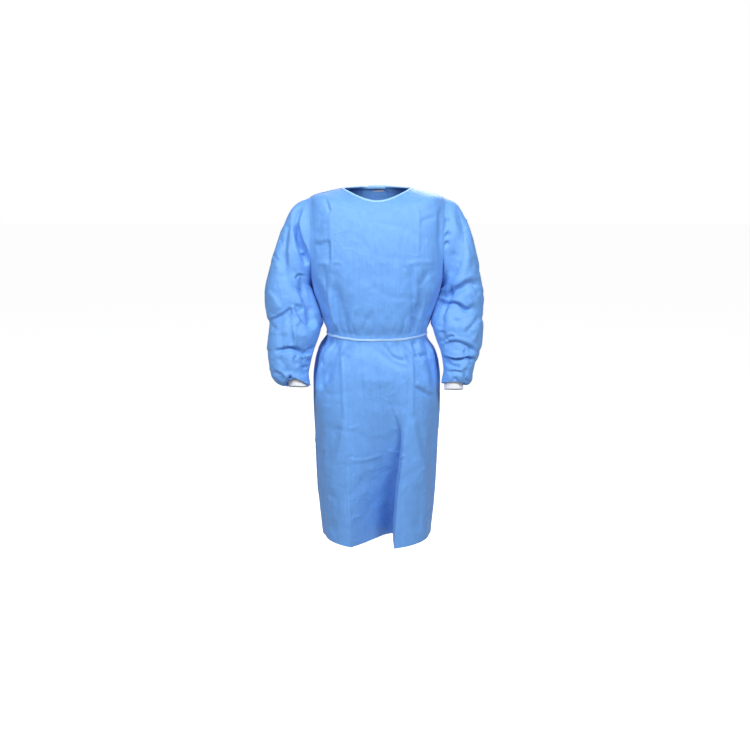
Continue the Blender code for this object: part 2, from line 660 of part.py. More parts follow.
def belt_knot(material):
    """Rounded knot at the middle of the back."""
    middle = belt_back() + np.array([0, SEAM + KNOT_HALF[1], 0])
    points = [middle + np.array([0, 0, KNOT_HALF[2]])]
    for r in range(1, KNOT_ROWS):
        tilt = np.pi * r / KNOT_ROWS
        for c in range(KNOT_COLUMNS):
            turn = 2 * np.pi * c / KNOT_COLUMNS
            way = np.array([np.sin(tilt) * np.cos(turn), np.sin(tilt) * np.sin(turn), np.cos(tilt)])
            squared = np.sign(way) * np.abs(way) ** KNOT_SQUARENESS
            points.append(middle + squared * np.array(KNOT_HALF))
    points.append(middle - np.array([0, 0, KNOT_HALF[2]]))
    faces = []
    for c in range(KNOT_COLUMNS):
        follow = (c + 1) % KNOT_COLUMNS
        faces.append([0, 1 + c, 1 + follow])
        for r in range(KNOT_ROWS - 2):
            a, b = 1 + r * KNOT_COLUMNS, 1 + (r + 1) * KNOT_COLUMNS
            faces.append([a + c, b + c, b + follow, a + follow])
        last = 1 + (KNOT_ROWS - 2) * KNOT_COLUMNS
        faces.append([last + c, len(points) - 1, last + follow])
    return mesh_object("belt_knot", np.array(points), faces, material)


def belt_end(name, side, material):
    """End of the tie, hanging from the knot onto the back of the skirt."""
    shares = np.linspace(0, 1, BELT_END_STEPS + 1)
    rises = BELT_RISE - KNOT_HALF[2] - SEAM - BELT_END_LENGTHS[side] * shares
    angles = BELT_END_ANGLES[side] + BELT_END_SPREAD * (BELT_END_ANGLES[side] - 180) * shares
    middle = cloth(angles, rises)
    normal = cloth_normal(angles, rises)
    hang = np.maximum(0, belt_back()[1] - middle[:, 1])
    middle[:, 1] += hang * (1 - smooth(shares / BELT_END_COMES_IN))
    across = unit(np.cross(normal, np.array([0.0, 0.0, 1.0]))) * BELT_HEIGHT / 2
    near, far = middle + normal * BELT_END_CLEAR, middle + normal * (BELT_END_CLEAR + BELT_END_WALL)
    lines = np.array([near - across, far - across, far + across, near + across])
    knot_bottom = belt_back()[2] - KNOT_HALF[2] - SEAM
    drop = knot_bottom - lines[:, 0, 2].max()
    lines[:, :, 2] += drop * (1 - smooth(shares / BELT_END_LET_DOWN))
    return tube_object(name, lines, material)


def neck_tape(name, hand, low, high, columns, material):
    """Patch of fastening tape on half the back, below the binding, from low to high off its face."""
    places = back_places(hand)
    rises = places[1][TAPE_ROW, 0] + np.array([TAPE_LOW, TAPE_LOW + TAPE_HEIGHT])
    rows = [row_at(places, rise) for rise in rises]
    points = np.array([row[0][slice(*columns)] for row in rows])
    normal = np.array([row[1][slice(*columns)] for row in rows])
    return wall_object(name, points + normal * high, points + normal * low, material)


def main():
    for piece in list(bpy.data.objects):
        bpy.data.objects.remove(piece)
    cloth_material = make_material("gown cloth")
    knit = make_material("knit")
    tie = make_material("tie")
    tape = make_material("fastening tape")
    panel("front", front_places(), cloth_material)
    panel("back_left", back_places(-1), cloth_material)
    panel("back_right", back_places(1), cloth_material)
    for side in ("left", "right"):
        sleeve("sleeve_" + side, side, cloth_material)
        cuff("cuff_" + side, side, knit)
        belt_end("belt_end_" + side, side, tie)
    neck_binding(make_material("binding"))
    belt(tie)
    belt_knot(tie)
    neck_tape("loop_tape", -1, SEAM, SEAM + TAPE_THICKNESS, LOOP_COLUMNS, tape)
    neck_tape("hook_tape", 1, -WALL - SEAM - TAPE_THICKNESS, -WALL - SEAM, HOOK_COLUMNS, tape)


main()
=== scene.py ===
"""The looks of a surgical gown in the hollow form it has when worn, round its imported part.

Metres, +Z up, the front faces -Y. Left and right are the viewer's, so left is -X. A place on the
body of the gown is an angle round it (0 at the front, 90 at the right side seam, 180 at the back)
and a rise, the height above the hem along the side, as in the part. Each cloth piece follows the
outer face of its solid on a finer grid, with its creases pressed in and a thin wall.
"""
import math
from collections import namedtuple

import bpy
import numpy as np
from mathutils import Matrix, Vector


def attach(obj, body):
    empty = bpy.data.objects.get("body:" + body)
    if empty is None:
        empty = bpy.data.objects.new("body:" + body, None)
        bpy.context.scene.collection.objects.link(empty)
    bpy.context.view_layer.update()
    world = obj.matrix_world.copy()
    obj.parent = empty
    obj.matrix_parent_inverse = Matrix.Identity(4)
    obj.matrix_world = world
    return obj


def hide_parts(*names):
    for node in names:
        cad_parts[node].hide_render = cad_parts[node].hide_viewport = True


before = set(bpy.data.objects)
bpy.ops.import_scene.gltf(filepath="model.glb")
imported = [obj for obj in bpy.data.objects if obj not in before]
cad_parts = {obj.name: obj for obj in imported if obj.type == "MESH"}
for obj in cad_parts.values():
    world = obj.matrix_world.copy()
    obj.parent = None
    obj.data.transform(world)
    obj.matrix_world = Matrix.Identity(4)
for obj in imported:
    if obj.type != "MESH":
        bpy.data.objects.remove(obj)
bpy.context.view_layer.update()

# Driving sizes, the same as the part's
WALL = 0.0015
SEAM = 0.0003
SIDE_SEAM_ANGLE = 90.0
BACK_OVERLAP_ANGLE = 200.0
TUCK_START_ANGLE = 146.0
TUCK_END_ANGLE = 163.0
TUCK_DEPTH = 0.0062
ARMHOLE_BITE_ANGLE = 17.5
ARMHOLE_SQUARENESS = 0.9
ARMHOLE_ROUNDNESS = 0.6
RISE_UNDERARM = 0.785
RISE_TIP = 1.052
RISE_NECK = 1.152
BELT_RISE = 0.645
BELT_HEIGHT = 0.008
BELT_CLEAR = 0.0005
BELT_THICKNESS = 0.0022
BELT_JOIN_ANGLE = 4.0
BELT_SMOOTH = 0.0075
BELT_FADE = 0.030
WAIST_HALF = 0.008
BELT_END_CLEAR = 0.0030
BELT_END_SPREAD = 0.9
BELT_END_LENGTHS = {"left": 0.27, "right": 0.31}
BELT_END_ANGLES = {"left": 183.2, "right": 176.6}
BELT_END_COMES_IN = 0.12
BELT_END_LET_DOWN = 0.25
KNOT_HALF = (0.013, 0.006, 0.009)
BINDING_LEG = 0.0075
BINDING_WIDTH = 0.0068
TAPE_THICKNESS = 0.0009

# Way outwards from the middle on each side
HAND = {"left": -1, "right": 1}

# Sizes that only the looks need
CLOTH_WALL = 0.0007
SEAM_ROLL = 0.0004
SEAM_ROLL_WIDTH = 0.0020
SEAM_REST = 0.012
WRIST_REST = 0.008
BELT_REST = 0.0045
BELT_REST_FADE = 0.012
SLEEVE_RADIUS = 0.07
TAPE_RADIUS = 0.08
UNDERARM_GAP = 0.002
# The seam's angle along the upper armhole is rounded over this width, out to this reach, above a level
ARMHOLE_SOFT_WIDTH = 0.013
ARMHOLE_SOFT_REACH = 0.046
ARMHOLE_SOFT_ABOVE = -0.255
ARMHOLE_SOFT_FADE = 0.060
ARMHOLE_LOOP_STEPS = 240
ARMHOLE_EDGE_STEPS = 200
# Cloth that the rounding takes in: the body from one angle to another in so many columns, its rows and
# how far below the neckline it ends, then the share of the sleeve with its rows and steps
ARMHOLE_BODY_ANGLES = (46, 134, 89)
ARMHOLE_BODY_ROWS = 130
ARMHOLE_BELOW_NECK = 0.03
ARMHOLE_SLEEVE_SHARE = 0.24
ARMHOLE_SLEEVE_ROWS = 30
ARMHOLE_SLEEVE_STEPS = 140
# Points worked on at a time, which keeps the memory in use low
POINTS_AT_ONCE = 400
# Clearance of the sleeves' inner walls from the side of the body, the widest gap that closes up to it and
# the range over which that fades, and the level above which none does
FLANK_CLEAR = 0.0014
FLANK_PULL = (0.018, 0.009)
FLANK_TOP = -0.287
FLANK_TOP_FADE = 0.02
FLANK_FOOT_FADE = 0.03
# Side of the body that they rest on: angles and columns, rows, start above the tie, half depth, half width
FLANK_ANGLES = (40, 140, 101)
FLANK_ROWS = 64
FLANK_ABOVE_BELT = 0.01
FLANK_DEEP = 0.12
FLANK_WIDE = 0.24
# How far the front of the sleeve's end is drawn up over the cuff, and where along the sleeve that begins
WRIST_ARCH = {"left": 0.019, "right": 0.003}
WRIST_ARCH_FROM = 0.80
WRIST_ARCH_FADE = 0.13
CUFF_INSIDE = 0.022
CUFF_NARROWS = 0.24
CUFF_NARROWS_ABOVE = 0.003
CUFF_NARROWS_OVER = 0.010
CUFF_FOLD = 0.0006
CUFF_WAVE = 0.0004
SKIRT_ROWS = 146
WAIST_ROWS = 8
BODICE_ROWS = 40
ARMHOLE_ROWS = 66
SHOULDER_ROWS = 26
FRONT_STEPS = (50, 40, 22, 48)
BACK_STEPS = 100
SLEEVE_ROWS = 218
SLEEVE_STEPS = 184
CUFF_STEPS = 264
CUFF_RIBS = 44
CUFF_ROWS = 14
BELT_STEPS = 420
BINDING_STEPS = 520
BELT_END_STEPS = 90

# Sections of the body of the gown, from hem to neckline
Ring = namedtuple("Ring", "rise half_width front back z_front z_side z_back squareness")
RINGS = (
    Ring(0.000, 0.174, 0.157, 0.146, -1.093, -1.082, -1.090, 2.3),
    Ring(0.120, 0.185, 0.158, 0.150, -0.968, -0.963, -0.967, 2.3),
    Ring(0.300, 0.193, 0.157, 0.152, -0.787, -0.785, -0.787, 2.3),
    Ring(0.460, 0.198, 0.154, 0.150, -0.627, -0.625, -0.627, 2.3),
    Ring(0.535, 0.195, 0.147, 0.141, -0.553, -0.550, -0.552, 2.3),
    Ring(0.595, 0.180, 0.135, 0.122, -0.495, -0.490, -0.491, 2.3),
    Ring(0.637, 0.1545, 0.122, 0.103, -0.455, -0.448, -0.448, 2.3),
    Ring(0.653, 0.1545, 0.122, 0.103, -0.439, -0.432, -0.432, 2.3),
    Ring(0.680, 0.165, 0.131, 0.113, -0.411, -0.405, -0.404, 2.35),
    Ring(0.725, 0.179, 0.137, 0.122, -0.365, -0.360, -0.359, 2.4),
    Ring(0.785, 0.197, 0.140, 0.128, -0.304, -0.300, -0.299, 2.5),
    Ring(0.865, 0.206, 0.139, 0.131, -0.225, -0.218, -0.217, 2.6),
    Ring(0.945, 0.207, 0.131, 0.126, -0.152, -0.132, -0.138, 2.6),
    Ring(1.005, 0.207, 0.119, 0.114, -0.104, -0.068, -0.084, 2.5),
    Ring(1.052, 0.201, 0.107, 0.101, -0.074, -0.026, -0.046, 2.3),
    Ring(1.100, 0.153, 0.097, 0.088, -0.054, -0.012, -0.018, 2.15),
    Ring(1.152, 0.103, 0.086, 0.075, -0.036, 0.000, 0.006, 2.0),
)

# The deep inward fold low on the front: x of its ridges and valley, and its depth
Pleat = namedtuple("Pleat", "rise left_ridge valley right_ridge depth")
PLEAT = (
    Pleat(0.000, -0.080, 0.040, 0.052, 0.144),
    Pleat(0.150, -0.084, 0.038, 0.062, 0.101),
    Pleat(0.300, -0.090, 0.034, 0.080, 0.053),
    Pleat(0.420, -0.096, 0.029, 0.098, 0.020),
    Pleat(0.520, -0.100, 0.028, 0.108, 0.000),
)
# Share of its left face that is flat; the rest curves level at the valley
PLEAT_FLAT = 0.7

# Soft folds of the body: a straight line from one place to another, a depth (a ridge is negative)
# and how far the fold reaches to each side of the line
Fold = namedtuple("Fold", "angle_a rise_a angle_b rise_b depth reach")
BODY_FOLDS = (
    Fold(-58, 0.66, -68, 0.80, 0.010, 0.016),
    Fold(-38, 0.66, -46, 0.83, 0.007, 0.016),
    Fold(-50, 0.67, -57, 0.80, -0.006, 0.012),
    Fold(48, 0.66, 52, 0.83, 0.009, 0.017),
    Fold(64, 0.67, 74, 0.79, 0.007, 0.014),
    Fold(-34, 0.62, -62, 0.50, 0.012, 0.018),
    Fold(-62, 0.60, -72, 0.44, -0.007, 0.016),
    Fold(34, 0.62, 52, 0.53, 0.010, 0.015),
    Fold(62, 0.61, 66, 0.46, 0.008, 0.015),
    Fold(0, 0.61, 30, 0.56, 0.006, 0.012),
    Fold(-74, 0.40, -70, 0.02, 0.012, 0.024),
    Fold(66, 0.40, 74, 0.02, 0.012, 0.024),
    Fold(112, 0.60, 118, 0.02, 0.016, 0.024),
    Fold(140, 0.61, 144, 0.25, 0.013, 0.020),
    Fold(165, 0.58, 160, 0.02, 0.017, 0.026),
    Fold(-110, 0.60, -113, 0.02, 0.015, 0.024),
    Fold(-137, 0.61, -140, 0.05, 0.016, 0.024),
    Fold(-160, 0.55, -163, 0.02, 0.009, 0.020),
    Fold(118, 0.66, 108, 0.84, 0.010, 0.017),
    Fold(145, 0.66, 138, 0.80, 0.009, 0.017),
    Fold(-120, 0.66, -107, 0.82, 0.010, 0.017),
    Fold(-146, 0.66, -140, 0.82, 0.008, 0.017),
)

# Finer gathers that the belt pulls into the cloth above and below it, uneven in length and spacing
BELT_GATHERS = (
    Fold(-66, 0.652, -69, 0.705, 0.0030, 0.0050),
    Fold(-61, 0.652, -60, 0.690, -0.0018, 0.0045),
    Fold(-47, 0.652, -50, 0.735, 0.0032, 0.0055),
    Fold(-41, 0.652, -41, 0.700, -0.0020, 0.0050),
    Fold(-30, 0.652, -32, 0.700, 0.0022, 0.0050),
    Fold(-19, 0.652, -15, 0.690, 0.0014, 0.0050),
    Fold(-6, 0.652, -3, 0.683, 0.0012, 0.0055),
    Fold(9, 0.652, 5, 0.697, 0.0014, 0.0050),
    Fold(21, 0.652, 24, 0.690, 0.0018, 0.0050),
    Fold(33, 0.652, 35, 0.712, 0.0024, 0.0055),
    Fold(42, 0.652, 42, 0.700, -0.0018, 0.0045),
    Fold(56, 0.652, 59, 0.740, 0.0030, 0.0055),
    Fold(70, 0.652, 71, 0.695, 0.0026, 0.0050),
    Fold(79, 0.652, 80, 0.700, 0.0020, 0.0055),
    Fold(-80, 0.652, -82, 0.695, 0.0020, 0.0055),
    Fold(98, 0.652, 96, 0.695, 0.0020, 0.0055),
    Fold(107, 0.652, 110, 0.745, 0.0036, 0.0060),
    Fold(126, 0.652, 124, 0.700, 0.0030, 0.0050),
    Fold(134, 0.652, 131, 0.770, 0.0040, 0.0065),
    Fold(152, 0.652, 151, 0.705, 0.0026, 0.0050),
    Fold(163, 0.652, 160, 0.745, 0.0034, 0.0060),
    Fold(174, 0.652, 176, 0.715, 0.0026, 0.0050),
    Fold(-98, 0.652, -97, 0.700, 0.0020, 0.0060),
    Fold(-111, 0.652, -114, 0.705, 0.0028, 0.0050),
    Fold(-129, 0.652, -127, 0.765, 0.0040, 0.0065),
    Fold(-138, 0.652, -141, 0.700, 0.0026, 0.0050),
    Fold(-153, 0.652, -150, 0.740, 0.0032, 0.0060),
    Fold(-168, 0.652, -170, 0.700, 0.0024, 0.0050),
    Fold(-71, 0.638, -69, 0.590, 0.0032, 0.0055),
    Fold(-55, 0.638, -61, 0.560, 0.0036, 0.0060),
    Fold(-44, 0.638, -44, 0.600, -0.0022, 0.0050),
    Fold(-25, 0.638, -24, 0.598, 0.0020, 0.0055),
    Fold(-12, 0.638, -15, 0.585, 0.0016, 0.0050),
    Fold(6, 0.638, 3, 0.600, 0.0014, 0.0050),
    Fold(27, 0.638, 31, 0.588, 0.0022, 0.0055),
    Fold(47, 0.638, 50, 0.570, 0.0034, 0.0060),
    Fold(56, 0.638, 55, 0.598, -0.0022, 0.0050),
    Fold(68, 0.638, 71, 0.580, 0.0036, 0.0060),
    Fold(81, 0.638, 80, 0.540, 0.0044, 0.0070),
    Fold(-83, 0.638, -81, 0.545, 0.0044, 0.0070),
    Fold(97, 0.638, 99, 0.585, 0.0036, 0.0060),
    Fold(109, 0.638, 104, 0.530, 0.0040, 0.0070),
    Fold(123, 0.638, 126, 0.590, 0.0034, 0.0055),
    Fold(132, 0.638, 131, 0.550, 0.0036, 0.0060),
    Fold(150, 0.638, 154, 0.575, 0.0036, 0.0060),
    Fold(160, 0.638, 159, 0.595, -0.0024, 0.0050),
    Fold(172, 0.638, 171, 0.560, 0.0032, 0.0060),
    Fold(-97, 0.638, -95, 0.590, 0.0034, 0.0055),
    Fold(-106, 0.638, -103, 0.540, 0.0042, 0.0070),
    Fold(-124, 0.638, -127, 0.580, 0.0036, 0.0060),
    Fold(-145, 0.638, -148, 0.545, 0.0036, 0.0060),
    Fold(-157, 0.638, -155, 0.592, 0.0030, 0.0050),
    Fold(-169, 0.638, -172, 0.560, 0.0030, 0.0060),
)

# Broad sags and long soft creases of the hidden sides, in the same terms
SIDE_AND_BACK_FOLDS = (
    Fold(98, 0.50, 104, 0.12, 0.0040, 0.0090),
    Fold(127, 0.47, 131, 0.05, 0.0050, 0.0100),
    Fold(150, 0.40, 153, 0.10, 0.0038, 0.0080),
    Fold(176, 0.46, 173, 0.06, -0.0035, 0.0090),
    Fold(-99, 0.52, -101, 0.10, 0.0042, 0.0090),
    Fold(-124, 0.44, -127, 0.03, 0.0050, 0.0110),
    Fold(-150, 0.48, -152, 0.15, 0.0040, 0.0080),
    Fold(103, 0.74, 116, 0.93, 0.0040, 0.0080),
    Fold(128, 0.75, 121, 0.98, 0.0040, 0.0090),
    Fold(157, 0.72, 150, 0.95, 0.0036, 0.0090),
    Fold(-104, 0.73, -117, 0.94, 0.0042, 0.0080),
    Fold(-131, 0.76, -124, 1.00, 0.0040, 0.0090),
    Fold(-162, 0.74, -155, 0.96, 0.0030, 0.0090),
    Fold(112, 0.97, 138, 0.90, 0.0030, 0.0080),
    Fold(-112, 0.96, -136, 0.89, 0.0032, 0.0080),
)
FOLD_RADIUS = 0.165
FOLD_ENDS = 0.5

# Sections of the sleeves: the outer and the inner edge, seen from the front, then the middle of the
# section in y, half its depth and how steeply its front rises. x counts outwards from the middle.
Section = namedtuple("Section", "outer_x outer_z inner_x inner_z y_mid half_depth lean")
SLEEVES = {
    "left": (
        Section(0.201, -0.026, 0.197, -0.300, 0.000, 0.064, 0.00),
        Section(0.232, -0.038, 0.199, -0.303, -0.001, 0.067, 0.00),
        Section(0.261, -0.066, 0.201, -0.307, -0.003, 0.070, 0.00),
        Section(0.288, -0.116, 0.2005, -0.313, -0.006, 0.073, 0.00),
        Section(0.306, -0.164, 0.1985, -0.321, -0.010, 0.075, 0.00),
        Section(0.322, -0.216, 0.192, -0.332, -0.014, 0.076, 0.02),
        Section(0.336, -0.268, 0.1865, -0.347, -0.018, 0.076, 0.05),
        Section(0.343, -0.320, 0.180, -0.366, -0.023, 0.074, 0.10),
        Section(0.341, -0.372, 0.1745, -0.392, -0.031, 0.073, 0.15),
        Section(0.331, -0.414, 0.171, -0.420, -0.040, 0.071, 0.20),
        Section(0.335, -0.455, 0.180, -0.454, -0.050, 0.069, 0.24),
        Section(0.336, -0.492, 0.192, -0.486, -0.059, 0.066, 0.26),
        Section(0.330, -0.528, 0.201, -0.520, -0.067, 0.061, 0.27),
        Section(0.325, -0.562, 0.208, -0.556, -0.074, 0.056, 0.28),
        Section(0.308, -0.586, 0.204, -0.586, -0.079, 0.049, 0.28),
        Section(0.286, -0.596, 0.205, -0.594, -0.081, 0.041, 0.28),
        Section(0.272, -0.580, 0.212, -0.578, -0.081, 0.033, 0.28),
    ),
    "right": (
        Section(0.201, -0.026, 0.197, -0.300, 0.000, 0.064, 0.00),
        Section(0.233, -0.040, 0.199, -0.303, -0.001, 0.067, 0.00),
        Section(0.258, -0.070, 0.200, -0.307, -0.003, 0.070, 0.00),
        Section(0.282, -0.118, 0.1995, -0.313, -0.006, 0.073, 0.00),
        Section(0.297, -0.164, 0.197, -0.321, -0.010, 0.075, 0.00),
        Section(0.309, -0.216, 0.1915, -0.332, -0.014, 0.075, 0.02),
        Section(0.317, -0.266, 0.1862, -0.347, -0.018, 0.074, 0.05),
        Section(0.328, -0.320, 0.1797, -0.366, -0.023, 0.073, 0.10),
        Section(0.325, -0.372, 0.174, -0.392, -0.031, 0.071, 0.15),
        Section(0.326, -0.414, 0.171, -0.420, -0.040, 0.070, 0.20),
        Section(0.323, -0.455, 0.180, -0.452, -0.049, 0.067, 0.24),
        Section(0.317, -0.492, 0.191, -0.482, -0.058, 0.063, 0.26),
        Section(0.303, -0.526, 0.199, -0.513, -0.066, 0.058, 0.27),
        Section(0.294, -0.556, 0.202, -0.546, -0.073, 0.053, 0.28),
        Section(0.290, -0.580, 0.197, -0.573, -0.078, 0.047, 0.28),
        Section(0.277, -0.592, 0.197, -0.586, -0.080, 0.039, 0.28),
        Section(0.263, -0.582, 0.205, -0.577, -0.080, 0.032, 0.28),
    ),
}
SEAM_BLEND = 0.34
ARMHOLE_EASE = 0.12
WRIST_EASE = 0.10
EDGE_FADE = 0.4

# Folds of the sleeves: x outwards and z of each end as seen from the front, then depth, reach and
# the side that they are on
SleeveFold = namedtuple("SleeveFold", "x_a z_a x_b z_b depth reach face")
SLEEVE_FOLDS = {
    "left": (
        SleeveFold(0.228, -0.060, 0.243, -0.110, 0.008, 0.012, "front"),
        SleeveFold(0.243, -0.110, 0.206, -0.205, 0.008, 0.012, "front"),
        SleeveFold(0.262, -0.095, 0.278, -0.200, 0.007, 0.016, "front"),
        SleeveFold(0.278, -0.200, 0.225, -0.305, 0.009, 0.016, "front"),
        SleeveFold(0.316, -0.390, 0.250, -0.352, 0.006, 0.015, "front"),
        SleeveFold(0.305, -0.482, 0.195, -0.478, 0.007, 0.014, "front"),
        SleeveFold(0.270, -0.420, 0.205, -0.440, -0.006, 0.014, "front"),
        SleeveFold(0.295, -0.535, 0.240, -0.545, 0.004, 0.012, "front"),
        SleeveFold(0.250, -0.090, 0.275, -0.240, 0.008, 0.018, "back"),
        SleeveFold(0.215, -0.230, 0.300, -0.350, 0.010, 0.018, "back"),
        SleeveFold(0.310, -0.420, 0.200, -0.450, 0.007, 0.016, "back"),
        SleeveFold(0.300, -0.500, 0.220, -0.520, 0.006, 0.014, "back"),
    ),
    "right": (
        SleeveFold(0.232, -0.050, 0.258, -0.110, 0.007, 0.015, "front"),
        SleeveFold(0.258, -0.110, 0.214, -0.282, 0.009, 0.016, "front"),
        SleeveFold(0.192, -0.332, 0.276, -0.284, 0.010, 0.015, "front"),
        SleeveFold(0.190, -0.352, 0.295, -0.358, 0.007, 0.014, "front"),
        SleeveFold(0.200, -0.468, 0.285, -0.478, 0.006, 0.014, "front"),
        SleeveFold(0.200, -0.515, 0.280, -0.512, 0.005, 0.012, "front"),
        SleeveFold(0.225, -0.410, 0.300, -0.405, -0.006, 0.016, "front"),
        SleeveFold(0.245, -0.080, 0.270, -0.250, 0.008, 0.018, "back"),
        SleeveFold(0.205, -0.290, 0.300, -0.330, 0.010, 0.018, "back"),
        SleeveFold(0.190, -0.430, 0.305, -0.410, 0.008, 0.016, "back"),
        SleeveFold(0.200, -0.500, 0.295, -0.480, 0.008, 0.014, "back"),
    ),
}

# Knit cuffs: how far they reach up inside the end of the sleeve and down below it, and how far
# the bottom lies outwards of the top
Cuff = namedtuple("Cuff", "above below outwards")
CUFFS = {"left": Cuff(0.004, 0.018, -0.003), "right": Cuff(0.004, 0.026, 0.001)}
CUFF_CLEAR = 0.0005
CUFF_WALL = 0.0014
CUFF_SPREAD = 0.04
RIB_HEIGHT = 0.0004

# Creases drawn as lines seen from one side, in level and upright metres: how deep they are pressed
# (a ridge is negative), their reach to the left and right of the walking direction, and the lip of
# cloth that stands proud along their left
Crease = namedtuple("Crease", "seen points depth left right lip")


def crease_rows(seen, rows):
    """Creases seen from one side. A row is the places of the line, level and upright, then its depth,
    left reach, right reach and lip: depth and lip in tenths of a millimetre, the rest in millimetres."""
    made = []
    for row in rows:
        *line, depth, left, right, lip = row
        points = tuple((line[i] / 1000, line[i + 1] / 1000) for i in range(0, len(line), 2))
        made.append(Crease(seen, points, depth / 10000, left / 1000, right / 1000, lip / 10000))
    return tuple(made)


SEEN = {"front": (0, (0, -1, 0)), "back": (0, (0, 1, 0)),
        "left": (1, (-1, 0, 0)), "right": (1, (1, 0, 0))}
CREASE_SIDE = 2.6
CREASE_EDGE = 1.25
CREASE_END = 0.22
CREASE_TURN = 0.45
LIP_AT = 1.7

TORSO_CREASES = crease_rows("front", (
    (-160, -215, -156, -300, -146, -430, 77, 10, 8, 16),
    (-133, -270, -121, -350, -108, -436, 73, 10, 5, 0),
    (-148, -290, -140, -360, -128, -436, -65, 7, 7, 0),
    (105, -212, 109, -300, 112, -436, 66, 4, 14, 16),
    (124, -330, 121, -380, 116, -436, 73, 7, 7, 0),
    (-142, -148, -141, -180, -139, -220, 50, 2, 26, 0),
    (-188, -168, -164, -158, -140, -150, 42, 2, 20, 0),
    (-176, -222, -160, -217, -146, -220, -32, 3, 4, 0),
    (-134, -216, -120, -214, -98, -219, -32, 3, 4, 0),
    (-124, -226, -112, -219, -103, -213, 23, 3, 4, 0),
    (78, -222, 110, -214, 178, -217, -30, 3, 5, 0),
    (-157, -26, -149, -42, -138, -74, 55, 4, 3, 16),
    (-168, -60, -171, -110, -180, -150, 36, 10, 8, 0),
    (-137, -40, -137, -150, -133, -260, -20, 3, 4, 0),
    (-18, -80, -17, -130, -20, -175, 20, 4, 3, 0),
    (69, -120, 76, -190, 80, -262, 23, 3, 5, 0),
    (123, -45, 122, -140, 120, -214, -23, 4, 3, 0),
    (125, -100, 148, -88, 178, -80, 27, 3, 6, 0),
    (187, -50, 186, -120, 188, -200, 32, 4, 4, 0),
    (158, -245, 140, -268, 122, -292, 36, 4, 8, 0),
    (-75, -300, -91, -350, -100, -425, 42, 7, 5, 0),
    (-58, -338, -76, -385, -82, -432, -32, 5, 5, 0),
    (-10, -352, -32, -390, -50, -430, 32, 7, 5, 0),
    (60, -330, 76, -370, 82, -430, 32, 6, 6, 0),
    (24, -372, 36, -400, 40, -432, 27, 5, 5, 0),
    (-108, -160, -60, -168, -20, -160, 16, 12, 12, 0),
    (-60, -240, 0, -252, 60, -244, 19, 14, 12, 0),
    (150, -300, 156, -350, 146, -420, 50, 8, 8, 0),
))

SKIRT_CREASES = crease_rows("front", (
    (-108, -446, -103, -560, -97, -700, -36, 3, 4, 0),
    (105, -446, 107, -560, 108, -690, -36, 3, 4, 0),
    (-113, -452, -132, -505, -160, -590, 73, 8, 10, 18),
    (-128, -448, -150, -466, -172, -486, 66, 5, 6, 16),
    (-166, -500, -170, -550, -166, -606, 50, 5, 4, 0),
    (16, -452, 30, -478, 52, -499, 96, -512, 62, 7, 3, 26),
    (40, -462, 56, -478, 78, -486, 32, 4, 4, 0),
    (110, -450, 122, -486, 150, -502, 73, 7, 4, 21),
    (108, -500, 134, -497, 166, -504, 55, 4, 3, 16),
    (146, -450, 154, -480, 160, -500, 55, 5, 5, 0),
    (110, -584, 134, -604, 174, -630, 66, 6, 2, 23),
    (118, -572, 130, -585, 146, -592, -27, 3, 4, 0),
    (-98, -676, -112, -770, -148, -884, -46, 10, 7, 0),
    (-112, -690, -140, -770, -164, -840, 46, 14, 14, 0),
    (108, -676, 124, -770, 156, -884, -46, 7, 10, 0),
    (124, -690, 146, -770, 166, -840, 46, 14, 14, 0),
    (-88, -712, -70, -710, -54, -700, -16, 2, 4, 0),
    (-86, -802, -62, -812, -30, -813, 24, -800, -25, 2, 5, 0),
    (-84, -795, -70, -806, -58, -809, 27, 3, 3, 0),
    (30, -790, 56, -800, 92, -796, -16, 3, 4, 0),
    (46, -716, 66, -720, 82, -718, -16, 2, 4, 0),
    (60, -816, 72, -812, 86, -806, 19, 3, 3, 0),
    (-82, -1000, -64, -996, -46, -994, -23, 2, 4, 0),
    (-45, -500, -50, -560, -46, -620, 36, 6, 6, 0),
    (-8, -520, 0, -590, -4, -660, 32, 8, 8, 0),
    (60, -540, 58, -600, 64, -680, 32, 8, 6, 0),
    (-140, -905, -146, -980, -140, -1070, 50, 12, 12, 0),
    (130, -880, 136, -970, 132, -1060, 46, 10, 14, 0),
    (176, -1000, 168, -1012, 150, -1016, 55, 4, 4, 13),
    (-60, -880, -20, -890, 10, -880, 23, 12, 14, 0),
))

